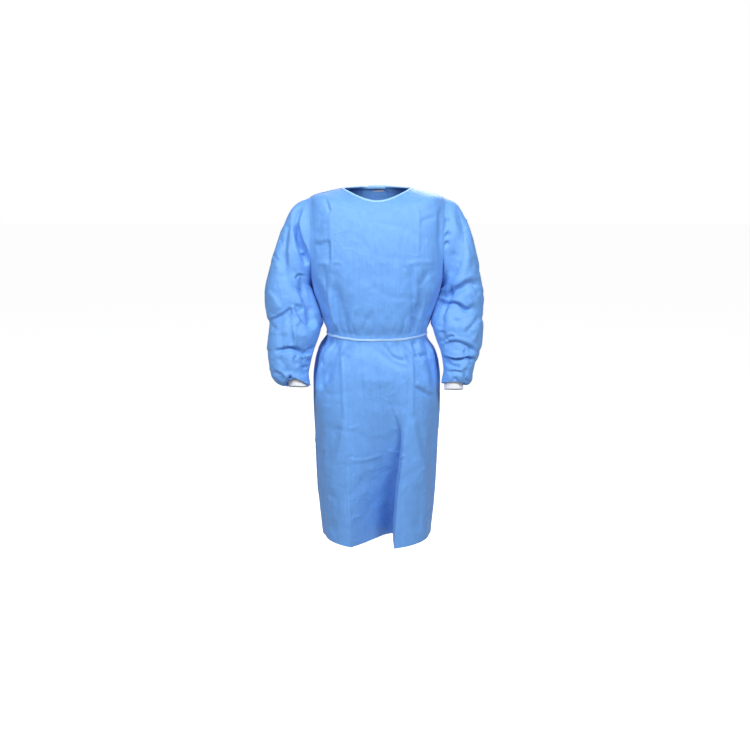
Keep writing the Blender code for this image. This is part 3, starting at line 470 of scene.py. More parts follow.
HIDDEN_BODY_CREASES = crease_rows("back", (
    (-120, -90, -100, -160, -112, -240, 35, 9, 7, 0),
    (150, -80, 120, -150, 128, -230, 38, 8, 9, 8),
    (60, -120, 90, -170, 100, -260, -29, 6, 7, 0),
    (-160, -220, -110, -216, -60, -220, -21, 4, 3, 0),
    (30, -218, 90, -221, 165, -216, -21, 4, 3, 0),
    (-70, -290, -60, -350, -78, -420, 45, 8, 6, 0),
    (100, -300, 86, -360, 92, -425, 42, 6, 9, 10),
    (36, -330, 46, -380, 38, -425, 18, 7, 7, 0),
    (-110, -60, -108, -300, -104, -426, -16, 3, 4, 0),
    (108, -60, 106, -300, 108, -426, -16, 3, 4, 0),
    (-104, -460, -108, -760, -106, -1080, -22, 3, 4, 0),
    (106, -460, 108, -760, 104, -1080, -22, 3, 4, 0),
    (-150, -800, -90, -808, -30, -798, -21, 3, 5, 0),
    (20, -806, 80, -800, 150, -806, -21, 3, 5, 0),
    (-60, -470, -82, -530, -78, -600, 42, 9, 6, 10),
    (64, -470, 94, -520, 132, -560, 45, 8, 6, 12),
    (-40, -700, -64, -820, -60, -960, 42, 14, 10, 0),
    (60, -660, 48, -780, 60, -900, 38, 10, 14, 0),
    (-130, -650, -118, -640, -96, -648, 26, 4, 4, 0),
    (10, -930, 40, -940, 80, -930, -19, 3, 5, 0),
)) + crease_rows("left", (
    (-30, -480, -50, -560, -44, -660, 48, 10, 8, 10),
    (40, -500, 60, -640, 50, -800, 45, 12, 10, 0),
    (-60, -800, 0, -806, 80, -798, -19, 4, 3, 0),
    (10, -760, 0, -880, 12, -1020, 42, 14, 10, 0),
    (30, -330, 46, -380, 30, -424, 42, 8, 6, 0),
    (-40, -330, -52, -380, -44, -424, 45, 6, 8, 0),
)) + crease_rows("right", (
    (-34, -480, -46, -570, -36, -680, 48, 8, 10, 10),
    (46, -490, 58, -620, 48, -780, 45, 10, 12, 0),
    (-70, -802, 0, -797, 70, -804, -19, 3, 4, 0),
    (-6, -740, 4, -860, -6, -1000, 42, 10, 14, 0),
    (30, -330, 40, -380, 28, -424, 42, 6, 8, 0),
    (-44, -320, -50, -370, -40, -424, 45, 8, 6, 0),
))

SLEEVE_CREASES = {
    "left": crease_rows("front", (
        (-248, -346, -224, -386, -186, -418, 130, 13, 4, 0),
        (-226, -486, -218, -526, -212, -562, 80, 4, 8, 20),
        (-246, -100, -230, -165, -212, -235, 125, 7, 4, 26),
        (-236, -262, -216, -322, -200, -366, -184, -420, 150, 8, 6, 26),
        (-226, -46, -243, -102, -235, -150, -213, -192, -202, -216, 124, 6, 8, 42),
        (-222, -190, -212, -204, -203, -226, 124, 5, 6, 0),
        (-254, -80, -270, -120, -277, -170, -270, -246, -247, -294, -222, -310, -200, -313, 92, 7, 14, 39),
        (-246, -270, -234, -258, -216, -264, 61, 4, 6, 23),
        (-228, -262, -222, -286, -226, -306, 61, 5, 5, 0),
        (-330, -398, -272, -366, -250, -346, 69, 4, 10, 26),
        (-256, -343, -246, -368, -228, -376, -61, 4, 4, 0),
        (-228, -376, -240, -398, -258, -410, -53, 4, 5, 0),
        (-274, -368, -262, -384, -266, -402, 53, 5, 4, 0),
        (-250, -346, -232, -350, -216, -362, 53, 4, 5, 0),
        (-249, -402, -244, -440, -243, -474, -53, 4, 4, 0),
        (-262, -410, -256, -440, -258, -466, 41, 5, 4, 0),
        (-186, -472, -213, -488, -254, -474, -312, -484, 125, 6, 4, 48),
        (-214, -486, -208, -512, -196, -530, 83, 4, 5, 23),
        (-232, -484, -246, -506, -236, -528, 69, 5, 4, 0),
        (-190, -540, -210, -534, -226, -540, 69, 4, 4, 26),
        (-318, -545, -296, -552, -276, -574, 83, 6, 5, 26),
        (-300, -498, -280, -520, -268, -552, 53, 8, 5, 0),
        (-260, -546, -262, -570, -262, -600, 104, 4, 4, 17),
        (-322, -190, -306, -206, -292, -220, 33, 3, 4, 0),
        (-334, -300, -312, -322, -288, -360, -36, 4, 10, 0),
        (-338, -402, -320, -408, -306, -420, 49, 5, 7, 0),
        (-300, -130, -290, -190, -294, -250, 33, 10, 10, 0),
        (-192, -345, -202, -380, -190, -420, 61, 7, 8, 0),
        (-290, -425, -286, -450, -292, -472, 36, 7, 6, 0),
    )) + crease_rows("back", (
        (-226, -70, -240, -130, -218, -196, 91, 8, 6, 29),
        (-206, -250, -250, -290, -310, -352, 91, 6, 9, 31),
        (-290, -110, -282, -180, -296, -250, 51, 9, 8, 0),
        (-200, -400, -244, -384, -290, -392, 73, 7, 5, 23),
        (-190, -450, -250, -448, -326, -424, 91, 7, 6, 29),
        (-216, -518, -260, -508, -310, -496, 83, 5, 6, 29),
        (-240, -450, -252, -480, -246, -506, -43, 5, 5, 0),
    )) + crease_rows("left", (
        (-60, -210, -10, -232, 40, -226, 16, 8, 8, 5),
        (-80, -390, -30, -404, 30, -412, 24, 6, 10, 10),
        (-110, -478, -60, -492, 0, -486, 24, 6, 8, 11),
        (-50, -290, -20, -330, -30, -380, -13, 7, 6, 0),
        (-110, -540, -80, -552, -36, -556, 20, 5, 6, 8),
        (-20, -100, -30, -160, -14, -200, 13, 9, 7, 0),
    )),
    "right": crease_rows("front", (
        (226, -280, 212, -330, 192, -380, 125, 5, 6, 0),
        (184, -134, 196, -110, 209, -86, 124, 4, 6, 36),
        (186, -158, 202, -142, 220, -128, 83, 4, 5, 26),
        (186, -180, 200, -168, 216, -155, 94, 4, 5, 26),
        (226, -40, 248, -72, 261, -110, 255, -186, 234, -246, 204, -292, 66, 12, 7, 23),
        (228, -180, 226, -220, 214, -262, 41, 8, 5, 0),
        (194, -190, 200, -230, 206, -258, -36, 6, 5, 0),
        (180, -336, 233, -307, 281, -281, 320, -293, 83, 9, 5, 36),
        (176, -343, 240, -344, 272, -361, 291, -351, 119, 6, 3, 42),
        (262, -300, 276, -322, 282, -348, -46, 6, 5, 0),
        (284, -284, 300, -300, 308, -320, 41, 5, 4, 0),
        (314, -378, 290, -402, 262, -428, 53, 8, 5, 23),
        (320, -410, 300, -430, 286, -456, -41, 6, 5, 0),
        (196, -474, 226, -456, 277, -470, 304, -494, 104, 6, 6, 36),
        (204, -456, 216, -440, 234, -436, 69, 4, 5, 23),
        (190, -420, 200, -440, 196, -466, 83, 5, 5, 0),
        (196, -502, 228, -508, 287, -506, 304, -514, 124, 4, 4, 42),
        (190, -500, 216, -520, 256, -528, 83, 5, 4, 26),
        (262, -474, 270, -492, 284, -504, 61, 4, 5, 0),
        (240, -380, 236, -410, 222, -434, 46, 9, 6, 0),
        (190, -360, 196, -392, 188, -424, 69, 6, 8, 0),
        (276, -130, 284, -190, 296, -250, 36, 10, 8, 0),
        (210, -548, 232, -542, 262, -548, 53, 4, 5, 20),
        (268, -530, 266, -552, 274, -584, 61, 4, 4, 0),
        (232, -556, 236, -574, 230, -596, 53, 4, 4, 0),
    )) + crease_rows("back", (
        (216, -76, 238, -140, 222, -210, 87, 6, 8, 29),
        (198, -296, 244, -314, 306, -330, 91, 9, 6, 31),
        (280, -120, 272, -190, 288, -270, 48, 8, 9, 0),
        (186, -430, 244, -424, 310, -408, 87, 6, 8, 31),
        (214, -370, 246, -362, 280, -376, 58, 6, 5, 20),
        (202, -498, 246, -494, 296, -480, 84, 6, 5, 29),
        (230, -520, 250, -536, 278, -530, 54, 5, 4, 17),
    )) + crease_rows("right", (
        (-60, -230, -12, -250, 40, -240, 16, 8, 8, 5),
        (-80, -296, -40, -318, 20, -330, 20, 8, 6, 8),
        (-90, -372, -40, -392, 20, -396, 22, 10, 6, 10),
        (-110, -486, -60, -488, -10, -474, 24, 8, 6, 11),
        (-112, -514, -80, -526, -34, -520, 20, 6, 5, 8),
        (-16, -110, -26, -170, -10, -210, 13, 7, 9, 0),
    )),
}

# Small faint crumples, scattered over a box seen from one side: its low and high corner, how many,
# and the deepest
Crumples = namedtuple("Crumples", "seen low high count depth")
BODY_CRUMPLES = (
    Crumples("front", (-0.190, -0.430), (0.190, -0.060), 60, 0.0010),
    Crumples("front", (-0.180, -1.080), (0.180, -0.460), 90, 0.0010),
    Crumples("back", (-0.190, -0.420), (0.190, -0.060), 70, 0.0014),
    Crumples("back", (-0.180, -1.080), (0.180, -0.470), 100, 0.0014),
    Crumples("left", (-0.120, -1.070), (0.120, -0.330), 60, 0.0014),
    Crumples("right", (-0.120, -1.070), (0.120, -0.330), 60, 0.0014),
)
SLEEVE_CRUMPLES = {
    "left": (Crumples("front", (-0.330, -0.570), (-0.200, -0.060), 50, 0.0014),
             Crumples("back", (-0.330, -0.570), (-0.200, -0.060), 50, 0.0016),
             Crumples("left", (-0.120, -0.560), (0.050, -0.080), 50, 0.0016)),
    "right": (Crumples("front", (0.200, -0.570), (0.320, -0.060), 50, 0.0014),
              Crumples("back", (0.200, -0.570), (0.320, -0.060), 50, 0.0016),
              Crumples("right", (-0.120, -0.560), (0.050, -0.080), 50, 0.0016)),
}
CRUMPLE_SEED = 11

# Gathers of the sleeve into its cuff: turns round the sleeve, how deep and how sharp
WristGather = namedtuple("WristGather", "at depth reach")
WRIST_GATHERS = (
    WristGather(-2.90, 0.0036, 0.15), WristGather(-2.52, 0.0028, 0.11), WristGather(-2.20, 0.0042, 0.14),
    WristGather(-1.78, 0.0030, 0.12), WristGather(-1.42, 0.0040, 0.16), WristGather(-0.98, 0.0034, 0.12),
    WristGather(-0.60, 0.0026, 0.10), WristGather(-0.22, 0.0040, 0.15), WristGather(0.18, 0.0030, 0.12),
    WristGather(0.52, 0.0042, 0.14), WristGather(0.93, 0.0028, 0.10), WristGather(1.24, 0.0044, 0.15),
    WristGather(1.66, 0.0034, 0.12), WristGather(2.02, 0.0040, 0.15), WristGather(2.44, 0.0030, 0.11),
    WristGather(2.78, 0.0038, 0.13),
)
WRIST_GATHER_LENGTH = 0.15

# Facets of cloth that has been folded and worn: how far apart their creases run and how deep they are
Facets = namedtuple("Facets", "size depth")
SLEEVE_FACETS = (Facets(0.150, 0.0014), Facets(0.070, 0.0005))
BODY_FACETS = (Facets(0.170, 0.0014), Facets(0.060, 0.0005))
FACET_WAVES = 7
FACET_WIDTH = 0.9
FACET_EDGE = 1.3
FACET_UPRIGHT = 1.3
FACET_INNER_X = 0.170
FACET_INNER_FADE = 0.040

# How far the valley of the deep fold is tucked under the edge at its right, and the depth it needs
PLEAT_TUCK = 0.85
PLEAT_TUCK_DEPTH = 0.05

# Flat cuts of the cloth: width and length of the piece's rectangle, and the area of the cut
Cut = namedtuple("Cut", "width length area")

# The photograph's view
CAMERA_AT = (-0.006, -3.2, 0.040)
CAMERA_PITCH = 10.9
CAMERA_LENS = 50.0
CAMERA_SENSOR = 36.0
FLOOR_LEVEL = -1.490

# Studio light: square softboxes, and the share of full white that comes from all round
SoftBox = namedtuple("SoftBox", "name at aim width watts")
SOFTBOXES = (
    SoftBox("left softbox", (-1.70, -2.40, 1.90), (0.0, 0.0, -0.60), 1.2, 96.0),
    SoftBox("right softbox", (1.50, -2.55, 1.90), (0.0, 0.0, -0.60), 1.2, 104.0),
    SoftBox("back softbox", (0.80, 3.20, 1.90), (0.0, 0.0, -0.50), 2.0, 120.0),
)
SURROUND_LIGHT = 0.15
FLOOR_GLOW = 0.90


def hermite(knots, values, at):
    """Smooth curve through values at the knots; values has one row for each knot."""
    knots = np.asarray(knots, float)
    slopes = np.gradient(values, knots, axis=0)
    at = np.clip(at, knots[0], knots[-1])
    k = np.clip(np.searchsorted(knots, at, side="right") - 1, 0, len(knots) - 2)
    step = knots[k + 1] - knots[k]
    f = (at - knots[k]) / step
    shape = (-1,) + (1,) * (np.ndim(values) - 1)
    f, step = np.reshape(f, shape), np.reshape(step, shape)
    low, high = np.reshape(k, -1), np.reshape(k, -1) + 1
    return ((2 * f**3 - 3 * f**2 + 1) * values[low] + (f**3 - 2 * f**2 + f) * step * slopes[low]
            + (3 * f**2 - 2 * f**3) * values[high] + (f**3 - f**2) * step * slopes[high])


def smooth(x):
    x = np.clip(x, 0.0, 1.0)
    return x * x * (3 - 2 * x)


def unit(vectors):
    return vectors / np.maximum(np.linalg.norm(vectors, axis=-1, keepdims=True), 1e-12)


def ring_sizes(rise):
    """Sizes of the body's section at each rise."""
    table = np.array(RINGS, float)
    return hermite(table[:, 0], table[:, 1:], rise)


def section_point(angle, sizes):
    """Point of a section at each angle, and the level way out of it."""
    width, front, back, z_front, z_side, z_back, square = sizes.T
    a = np.radians(angle)
    across, along = np.sin(a), -np.cos(a)
    ahead = along < 0
    depth = np.where(ahead, front, back)
    radius = ((np.abs(across) / width) ** square + (np.abs(along) / depth) ** square) ** (-1 / square)
    level = np.where(ahead, z_front, z_back)
    z = z_side + (level - z_side) * along**2
    point = np.stack([radius * across, radius * along, z], -1)
    way = np.stack([np.sign(across) * (np.abs(across) / width) ** (square - 1) / width,
                    np.sign(along) * (np.abs(along) / depth) ** (square - 1) / depth,
                    np.zeros_like(z)], -1)
    return point, unit(way)


def angle_of_x(x, sizes):
    """Angle at which the front of a section is x from the middle."""
    width, front, square = sizes[:, 0], sizes[:, 1], sizes[:, 6]
    y = front * np.clip(1 - np.abs(x / width) ** square, 0, 1) ** (1 / square)
    return np.degrees(np.arctan2(x, y))


def pleat_angles(rise):
    """Angles of the left ridge, valley and right ridge of the deep fold, and its depth."""
    table = np.array(PLEAT, float)
    sizes = ring_sizes(table[:, 0])
    for i in range(1, 4):
        table[:, i] = angle_of_x(table[:, i], sizes)
    return hermite(table[:, 0], table[:, 1:], rise).T


def left_face_depth(share):
    """Share of the deep fold's depth across its left face, from the ridge to the valley."""
    straight = 2 * share / (1 + PLEAT_FLAT)
    curved = 1 - (1 - share) ** 2 / (1 - PLEAT_FLAT**2)
    return np.where(share < PLEAT_FLAT, straight, curved)


def line_distance(px, py, ax, ay, bx, by):
    """Distance from points to a line, and how far along it they are (0 to 1)."""
    dx, dy = bx - ax, by - ay
    along = ((px - ax) * dx + (py - ay) * dy) / (dx * dx + dy * dy)
    near = np.clip(along, 0, 1)
    return np.hypot(px - ax - near * dx, py - ay - near * dy), near


def fold_shape(gap, near):
    """Share of a fold's depth beside its line, in reaches, and along it."""
    return np.exp(-gap**2) * (FOLD_ENDS + (1 - FOLD_ENDS) * np.sin(np.pi * near))


def fold_depth(folds, angle, rise):
    """How far a list of folds moves the cloth in."""
    total = np.zeros_like(angle)
    scale = np.radians(1.0) * FOLD_RADIUS
    for f in folds:
        turned = (angle - f.angle_a + 180) % 360 - 180
        gap, near = line_distance(turned * scale, rise, 0.0, f.rise_a,
                                  (f.angle_b - f.angle_a) * scale, f.rise_b)
        total += f.depth * fold_shape(gap / f.reach, near)
    return total


def body_fold_depth(angle, rise):
    """How far the soft folds move the cloth in."""
    return fold_depth(BODY_FOLDS, angle, rise) * smooth((np.abs(rise - BELT_RISE) - BELT_SMOOTH) / BELT_FADE)


def cloth(angle, rise):
    """Outer face of the gown's body at each angle and rise."""
    angle, rise = np.broadcast_arrays(np.asarray(angle, float), np.asarray(rise, float))
    shape = angle.shape
    angle, rise = angle.ravel(), rise.ravel()
    sizes = ring_sizes(rise)
    point, way = section_point(angle, sizes)
    left, valley, right, depth = pleat_angles(rise)
    inward = np.where(angle < valley, left_face_depth((angle - left) / (valley - left)),
                      (right - angle) / (right - valley))
    inward = np.where(np.abs(angle) < SIDE_SEAM_ANGLE, np.clip(inward, 0, 1), 0)
    moved = point - way * body_fold_depth(angle, rise)[:, None]
    moved[:, 1] += depth * inward
    return moved.reshape(shape + (3,))


def cloth_normal(angle, rise):
    """Way out of the cloth, square to its face."""
    turn, climb = 0.4, 0.002
    low = np.maximum(rise - climb, 0.0)
    high = np.minimum(rise + climb, RISE_NECK)
    across = cloth(angle + turn, rise) - cloth(angle - turn, rise)
    along = cloth(angle, high) - cloth(angle, low)
    return unit(np.cross(across, along))


def tuck(angle):
    """How far the under panel of the back lies inside the outer one."""
    share = (np.abs(angle) - TUCK_START_ANGLE) / (TUCK_END_ANGLE - TUCK_START_ANGLE)
    return TUCK_DEPTH * smooth(share)


def armhole_angle(turn):
    """Angle of the armhole's front edge; turn is 0 at the shoulder tip and pi at the underarm."""
    return SIDE_SEAM_ANGLE - ARMHOLE_BITE_ANGLE * np.sin(turn) ** ARMHOLE_SQUARENESS


def armhole_rise(turn):
    share = ARMHOLE_ROUNDNESS * (1 - np.cos(turn)) / 2 + (1 - ARMHOLE_ROUNDNESS) * turn / np.pi
    return RISE_TIP + (RISE_UNDERARM - RISE_TIP) * share


def body_rises():
    """Rise of each row of the panels, and their side angle where the armhole cuts them."""
    belt_low, belt_high = BELT_RISE - WAIST_HALF, BELT_RISE + WAIST_HALF
    turns = np.linspace(np.pi, 0, ARMHOLE_ROWS + 1)
    rises = np.concatenate([
        np.linspace(0, belt_low, SKIRT_ROWS + 1)[:-1],
        np.linspace(belt_low, belt_high, WAIST_ROWS + 1)[:-1],
        np.linspace(belt_high, RISE_UNDERARM, BODICE_ROWS + 1)[:-1],
        armhole_rise(turns),
        np.linspace(RISE_TIP, RISE_NECK, SHOULDER_ROWS)[1:]])
    first = SKIRT_ROWS + WAIST_ROWS + BODICE_ROWS
    side = np.full(len(rises), SIDE_SEAM_ANGLE)
    side[first:first + len(turns)] = armhole_angle(turns)
    return rises, side


def seam_angle(rises):
    """Angle that half a seam's gap takes up at the side."""
    return np.degrees(SEAM / 2 / ring_sizes(rises)[:, 0])


def front_places():
    """Angle and rise of each point of the front, whose columns follow the deep fold."""
    rises, side = body_rises()
    side = side - seam_angle(rises)
    left, valley, right, _ = pleat_angles(rises)
    stops = [-side, left, valley, right, side]
    columns = []
    for i, steps in enumerate(FRONT_STEPS):
        for share in np.linspace(0, 1, steps + 1)[:-1]:
            columns.append(stops[i] * (1 - share) + stops[i + 1] * share)
    columns.append(side)
    angles = np.stack(columns, 1)
    return angles, np.repeat(rises[:, None], angles.shape[1], 1)


def back_places(hand):
    """Angle and rise of each point of half the back, from its side seam to past the middle."""
    rises, side = body_rises()
    side = 2 * SIDE_SEAM_ANGLE - side + seam_angle(rises)
    shares = np.linspace(0, 1, BACK_STEPS + 1)
    angles = hand * (side[:, None] + (BACK_OVERLAP_ANGLE - side[:, None]) * shares)
    return angles, np.repeat(rises[:, None], angles.shape[1], 1)


def body_face(angles, rises):
    """Outer face of the body's panels and the way out; the left back lies under the right one."""
    normal = cloth_normal(angles, rises)
    under = np.where(angles < -SIDE_SEAM_ANGLE, tuck(angles), 0.0)
    return cloth(angles, rises) - normal * under[..., None], normal


def rounded(points):
    """A bent line through a few points, drawn smoothly."""
    points = np.array(points, float)
    if len(points) < 3:
        return points
    steps = np.linalg.norm(np.diff(points, axis=0), axis=1)
    knots = np.concatenate([[0], np.cumsum(steps)])
    return hermite(knots, points, np.linspace(0, knots[-1], 4 * len(points)))


def path_distance(flat, points):
    """Distance from flat points to a bent line, how far along it they are (0 to 1), and the same
    distance with a sign, positive on the left of the walking direction."""
    path = rounded(points)
    steps = np.linalg.norm(np.diff(path, axis=0), axis=1)
    starts = np.concatenate([[0], np.cumsum(steps)])
    gap = np.full(flat.shape[:-1], np.inf)
    near = np.zeros(flat.shape[:-1])
    left = np.zeros(flat.shape[:-1])
    for a, b, start, step in zip(path, path[1:], starts, steps):
        here, share = line_distance(flat[..., 0], flat[..., 1], a[0], a[1], b[0], b[1])
        side = (b[0] - a[0]) * (flat[..., 1] - a[1]) - (b[1] - a[1]) * (flat[..., 0] - a[0])
        closer = here < gap
        gap = np.where(closer, here, gap)
        near = np.where(closer, (start + share * step) / starts[-1], near)
        left = np.where(closer, side / step, left)
    return gap, near, left


def crease_depth(points, normals, creases):
    """How far in the creases press each point; negative where the cloth stands proud."""
    total = np.zeros(points.shape[:-1])
    for crease in creases:
        axis, facing = SEEN[crease.seen]
        flat = points[..., [axis, 2]]
        corners = np.array(crease.points)
        margin = 3 * max(crease.left, crease.right)
        inside = np.all((flat > corners.min(0) - margin) & (flat < corners.max(0) + margin), -1)
        seen = smooth(normals[inside] @ np.array(facing, float) / CREASE_TURN)
        if not seen.any():
            continue
        gap, near, left = path_distance(flat[inside], crease.points)
        reach = np.where(left > 0, crease.left, crease.right)
        press = crease.depth * np.maximum(1 - gap / (CREASE_SIDE * reach), 0) ** CREASE_EDGE
        lip = crease.lip * np.exp(-((left / crease.left - LIP_AT) ** 2)) * (left > 0)
        ends = smooth(near / CREASE_END) * smooth((1 - near) / CREASE_END)
        total[inside] += seen * ends * (press - lip)
    return total


def scattered(crumples, rng):
    """Faint creases at random places, most of them short and none like another."""
    creases = []
    for box in crumples:
        low, high = np.array(box.low), np.array(box.high)
        for _ in range(box.count):
            middle = low + (high - low) * rng.random(2)
            way = rng.random() * math.pi
            half = 0.006 + 0.022 * rng.random() ** 2
            bend = (rng.random() - 0.5) * 0.5 * half
            step = half * np.array([math.cos(way), math.sin(way)])
            aside = bend * np.array([-math.sin(way), math.cos(way)])
            depth = box.depth * (0.35 + 0.65 * rng.random()) * (1 if rng.random() < 0.55 else -1)
            reach = 0.003 + 0.004 * rng.random()
            line = (tuple(middle - step), tuple(middle + aside), tuple(middle + step))
            creases.append(Crease(box.seen, line, depth, reach, reach * (0.6 + rng.random()), 0.0))
    return creases


def facet_depth(points, facets, seed):
    """How far the creases between the cloth's facets press each point in."""
    rng = np.random.default_rng(seed)
    total = np.zeros(points.shape[:-1])
    for facet in facets:
        ways = unit(rng.normal(size=(FACET_WAVES, 3)) * (1, 1, FACET_UPRIGHT))
        ways = ways * (2 * np.pi / facet.size) * rng.uniform(0.7, 1.3, (FACET_WAVES, 1))
        turns = points @ ways.T + rng.uniform(0, 2 * np.pi, FACET_WAVES)
        height = np.cos(turns).sum(-1) * math.sqrt(2 / FACET_WAVES)
        total += facet.depth * (1 - np.minimum(np.abs(height) / FACET_WIDTH, 1)) ** FACET_EDGE
    return total


def pleat_tucked(grid, angles, rises):
    """Body with the valley of its deep fold drawn under the edge at its right."""
    left, valley, right, depth = [part.reshape(rises.shape) for part in pleat_angles(rises.ravel())]
    share = np.where(angles < valley, (angles - left) / (valley - left), (right - angles) / (right - valley))
    share = np.where(np.abs(angles) < SIDE_SEAM_ANGLE, np.clip(share, 0, 1), 0)
    reach = cloth(right, rises)[..., 0] - cloth(valley, rises)[..., 0]
    moved = grid.copy()
    moved[..., 0] += PLEAT_TUCK * reach * smooth(depth / PLEAT_TUCK_DEPTH) * share**1.5
    return moved


def grid_normals(grid):
    """Way out at each point of a grid whose columns run round the gown, seen from the front."""
    across = np.gradient(grid, axis=1)
    along = np.gradient(grid, axis=0)
    return unit(np.cross(across, along))


def edge_distance(grid, first, last):
    """Distance along each row to the seams at its ends; first and last say which ends have one."""
    steps = np.linalg.norm(np.diff(grid, axis=1), axis=2)
    walked = np.concatenate([np.zeros((len(grid), 1)), np.cumsum(steps, axis=1)], 1)
    far = np.full(walked.shape, 1.0)
    to_first = walked if first else far
    to_last = walked[:, -1:] - walked if last else far
    return np.minimum(to_first, to_last)


def neck_distance(grid):
    """Distance up along each column to the neckline."""
    steps = np.linalg.norm(np.diff(grid, axis=0), axis=2)[::-1]
    return np.concatenate([np.zeros((1, grid.shape[1])), np.cumsum(steps, axis=0)])[::-1]


def mesh_piece(name, points, faces, material, places=None):
    """Piece from points and quads, with its faces turned out; places are metres on the flat cloth."""
    faces = np.asarray(faces)
    corners = points[faces]
    volume = 0.0
    for i in (1, 2):
        volume += np.sum(corners[:, 0] * np.cross(corners[:, i], corners[:, i + 1]))
    if volume < 0:
        faces = faces[:, ::-1]
    mesh = bpy.data.meshes.new(name)
    mesh.from_pydata(points.tolist(), [], faces.tolist())
    if places is not None:
        place = mesh.attributes.new("cloth_place", "FLOAT_VECTOR", "POINT")
        place.data.foreach_set("vector", places.astype(np.float32).ravel())
    mesh.update()
    mesh.shade_smooth()
    mesh.set_sharp_from_angle(angle=math.radians(55))
    mesh.materials.append(material)
    piece = bpy.data.objects.new(name, mesh)
    bpy.context.scene.collection.objects.link(piece)
    return piece


def grid_faces(rows, columns, wrap_rows=False, wrap_columns=False, start=0):
    """Quads of a grid of points, [row][column]."""
    r = np.arange(rows if wrap_rows else rows - 1)[:, None]
    c = np.arange(columns if wrap_columns else columns - 1)[None, :]
    up, aside = (r + 1) % rows, (c + 1) % columns
    quads = np.stack([r * columns + c, r * columns + aside, up * columns + aside, up * columns + c], -1)
    return start + quads.reshape(-1, 4)


def shell(name, outer, wall, material, places):
    """Thin sheet with its outer face on a grid, closed along all four edges."""
    rows, columns = outer.shape[:2]
    inner = outer - grid_normals(outer) * wall
    loop = np.concatenate([outer, inner[::-1]])
    faces = [grid_faces(2 * rows, columns, wrap_rows=True)]
    for column, flip in ((0, False), (columns - 1, True)):
        r = np.arange(rows - 1)
        far = 2 * rows - 1 - r
        strip = np.stack([r, far, far - 1, r + 1], -1) * columns + column
        faces.append(strip[:, ::-1] if flip else strip)
    flat = np.concatenate([places, places[::-1]]).reshape(-1, 3)
    return mesh_piece(name, loop.reshape(-1, 3), np.concatenate(faces), material, flat)


def flat_places(across, along):
    return np.stack([across, along, np.zeros_like(across)], -1)


def body_panel(name, places, first_seam, last_seam, creases, material):
    """Front or half back: the solid's face with gathers, creases and crumples pressed in. Only the front
    has a seam at both ends of its rows, and only it has the deep fold."""
    angles, rises = places
    grid = softened(body_face(angles, rises)[0], ("left", "right"))
    if first_seam and last_seam:
        grid = pleat_tucked(grid, angles, rises)
    normals = grid_normals(grid)
    gap = edge_distance(grid, first_seam, last_seam)
    below_strip = neck_distance(grid) - BINDING_WIDTH
    keep = smooth(gap / SEAM_REST) * smooth(below_strip / SEAM_REST)
    belt_free = smooth((np.abs(rises - BELT_RISE) - BELT_REST) / BELT_REST_FADE)
    soft = fold_depth(BELT_GATHERS + SIDE_AND_BACK_FOLDS, angles, rises)
    pressed = crease_depth(grid, normals, creases) + facet_depth(grid, BODY_FACETS, CRUMPLE_SEED)
    roll = SEAM_ROLL * np.exp(-((gap / SEAM_ROLL_WIDTH) ** 2))
    moved = (soft + pressed) * keep * belt_free + roll * smooth(below_strip / SEAM_ROLL_WIDTH)
    outer = grid - normals * moved[..., None]
    return shell(name, outer, CLOTH_WALL, material, flat_places(np.radians(angles) * FOLD_RADIUS, rises))


def sleeve_fold_depth(side, point, around):
    """How far the sleeve's folds move the cloth in."""
    total = np.zeros(point.shape[:-1])
    facing = np.sin(around)
    for f in SLEEVE_FOLDS[side]:
        gap, near = line_distance(np.abs(point[..., 0]), point[..., 2], f.x_a, f.z_a, f.x_b, f.z_b)
        seen = smooth((facing if f.face == "front" else -facing) / EDGE_FADE)
        total += f.depth * fold_shape(gap / f.reach, near) * seen
    return total


def armhole_point(hand, around):
    """Point of the armhole's edge at each turn; the front of the gown is where the turn is positive."""
    turn = np.abs(around)
    angle = armhole_angle(turn)
    angle = np.where(around >= 0, angle, 2 * SIDE_SEAM_ANGLE - angle)
    return cloth(hand * angle, armhole_rise(turn))


def wrist_gather_depth(around, shift):
    total = np.zeros_like(around)
    for gather in WRIST_GATHERS:
        turned = (around - gather.at - shift + np.pi) % (2 * np.pi) - np.pi
        total += gather.depth * np.exp(-((turned / gather.reach) ** 2))
    return total


def sleeve_face(side, along, around):
    """Outer face of a sleeve from its armhole down, as the part has it, [along][around]."""
    hand = HAND[side]
    table = np.array(SLEEVES[side], float)
    rows = hermite(np.linspace(0, 1, len(table)), table, along)
    outer_x, outer_z, inner_x, inner_z, y_mid, depth, lean = rows.T[:, :, None]
    c, s = np.cos(around), np.sin(around)
    x = (outer_x + inner_x) / 2 + (outer_x - inner_x) / 2 * c
    z = (outer_z + inner_z) / 2 + (outer_z - inner_z) / 2 * c + depth * lean * s
    grid = np.stack([hand * x, y_mid - depth * s, z], -1)

    loop = armhole_point(hand, around)
    start = loop + SEAM * (unit(loop.mean(0) - loop) + np.array([hand, 0, 0]))
    blend = (1 - smooth(along / SEAM_BLEND))[:, None, None]
    grid = grid + blend * (start - grid[0])
    ease = (smooth(along / ARMHOLE_EASE) * smooth((1 - along) / WRIST_EASE))[:, None]
    outward = unit(grid - grid.mean(1, keepdims=True))
    return grid - outward * (sleeve_fold_depth(side, grid, around[None, :]) * ease)[..., None]


def cell_areas(grid):
    """Area that each point of a grid stands for."""
    return np.linalg.norm(np.cross(np.gradient(grid, axis=1), np.gradient(grid, axis=0)), axis=-1)


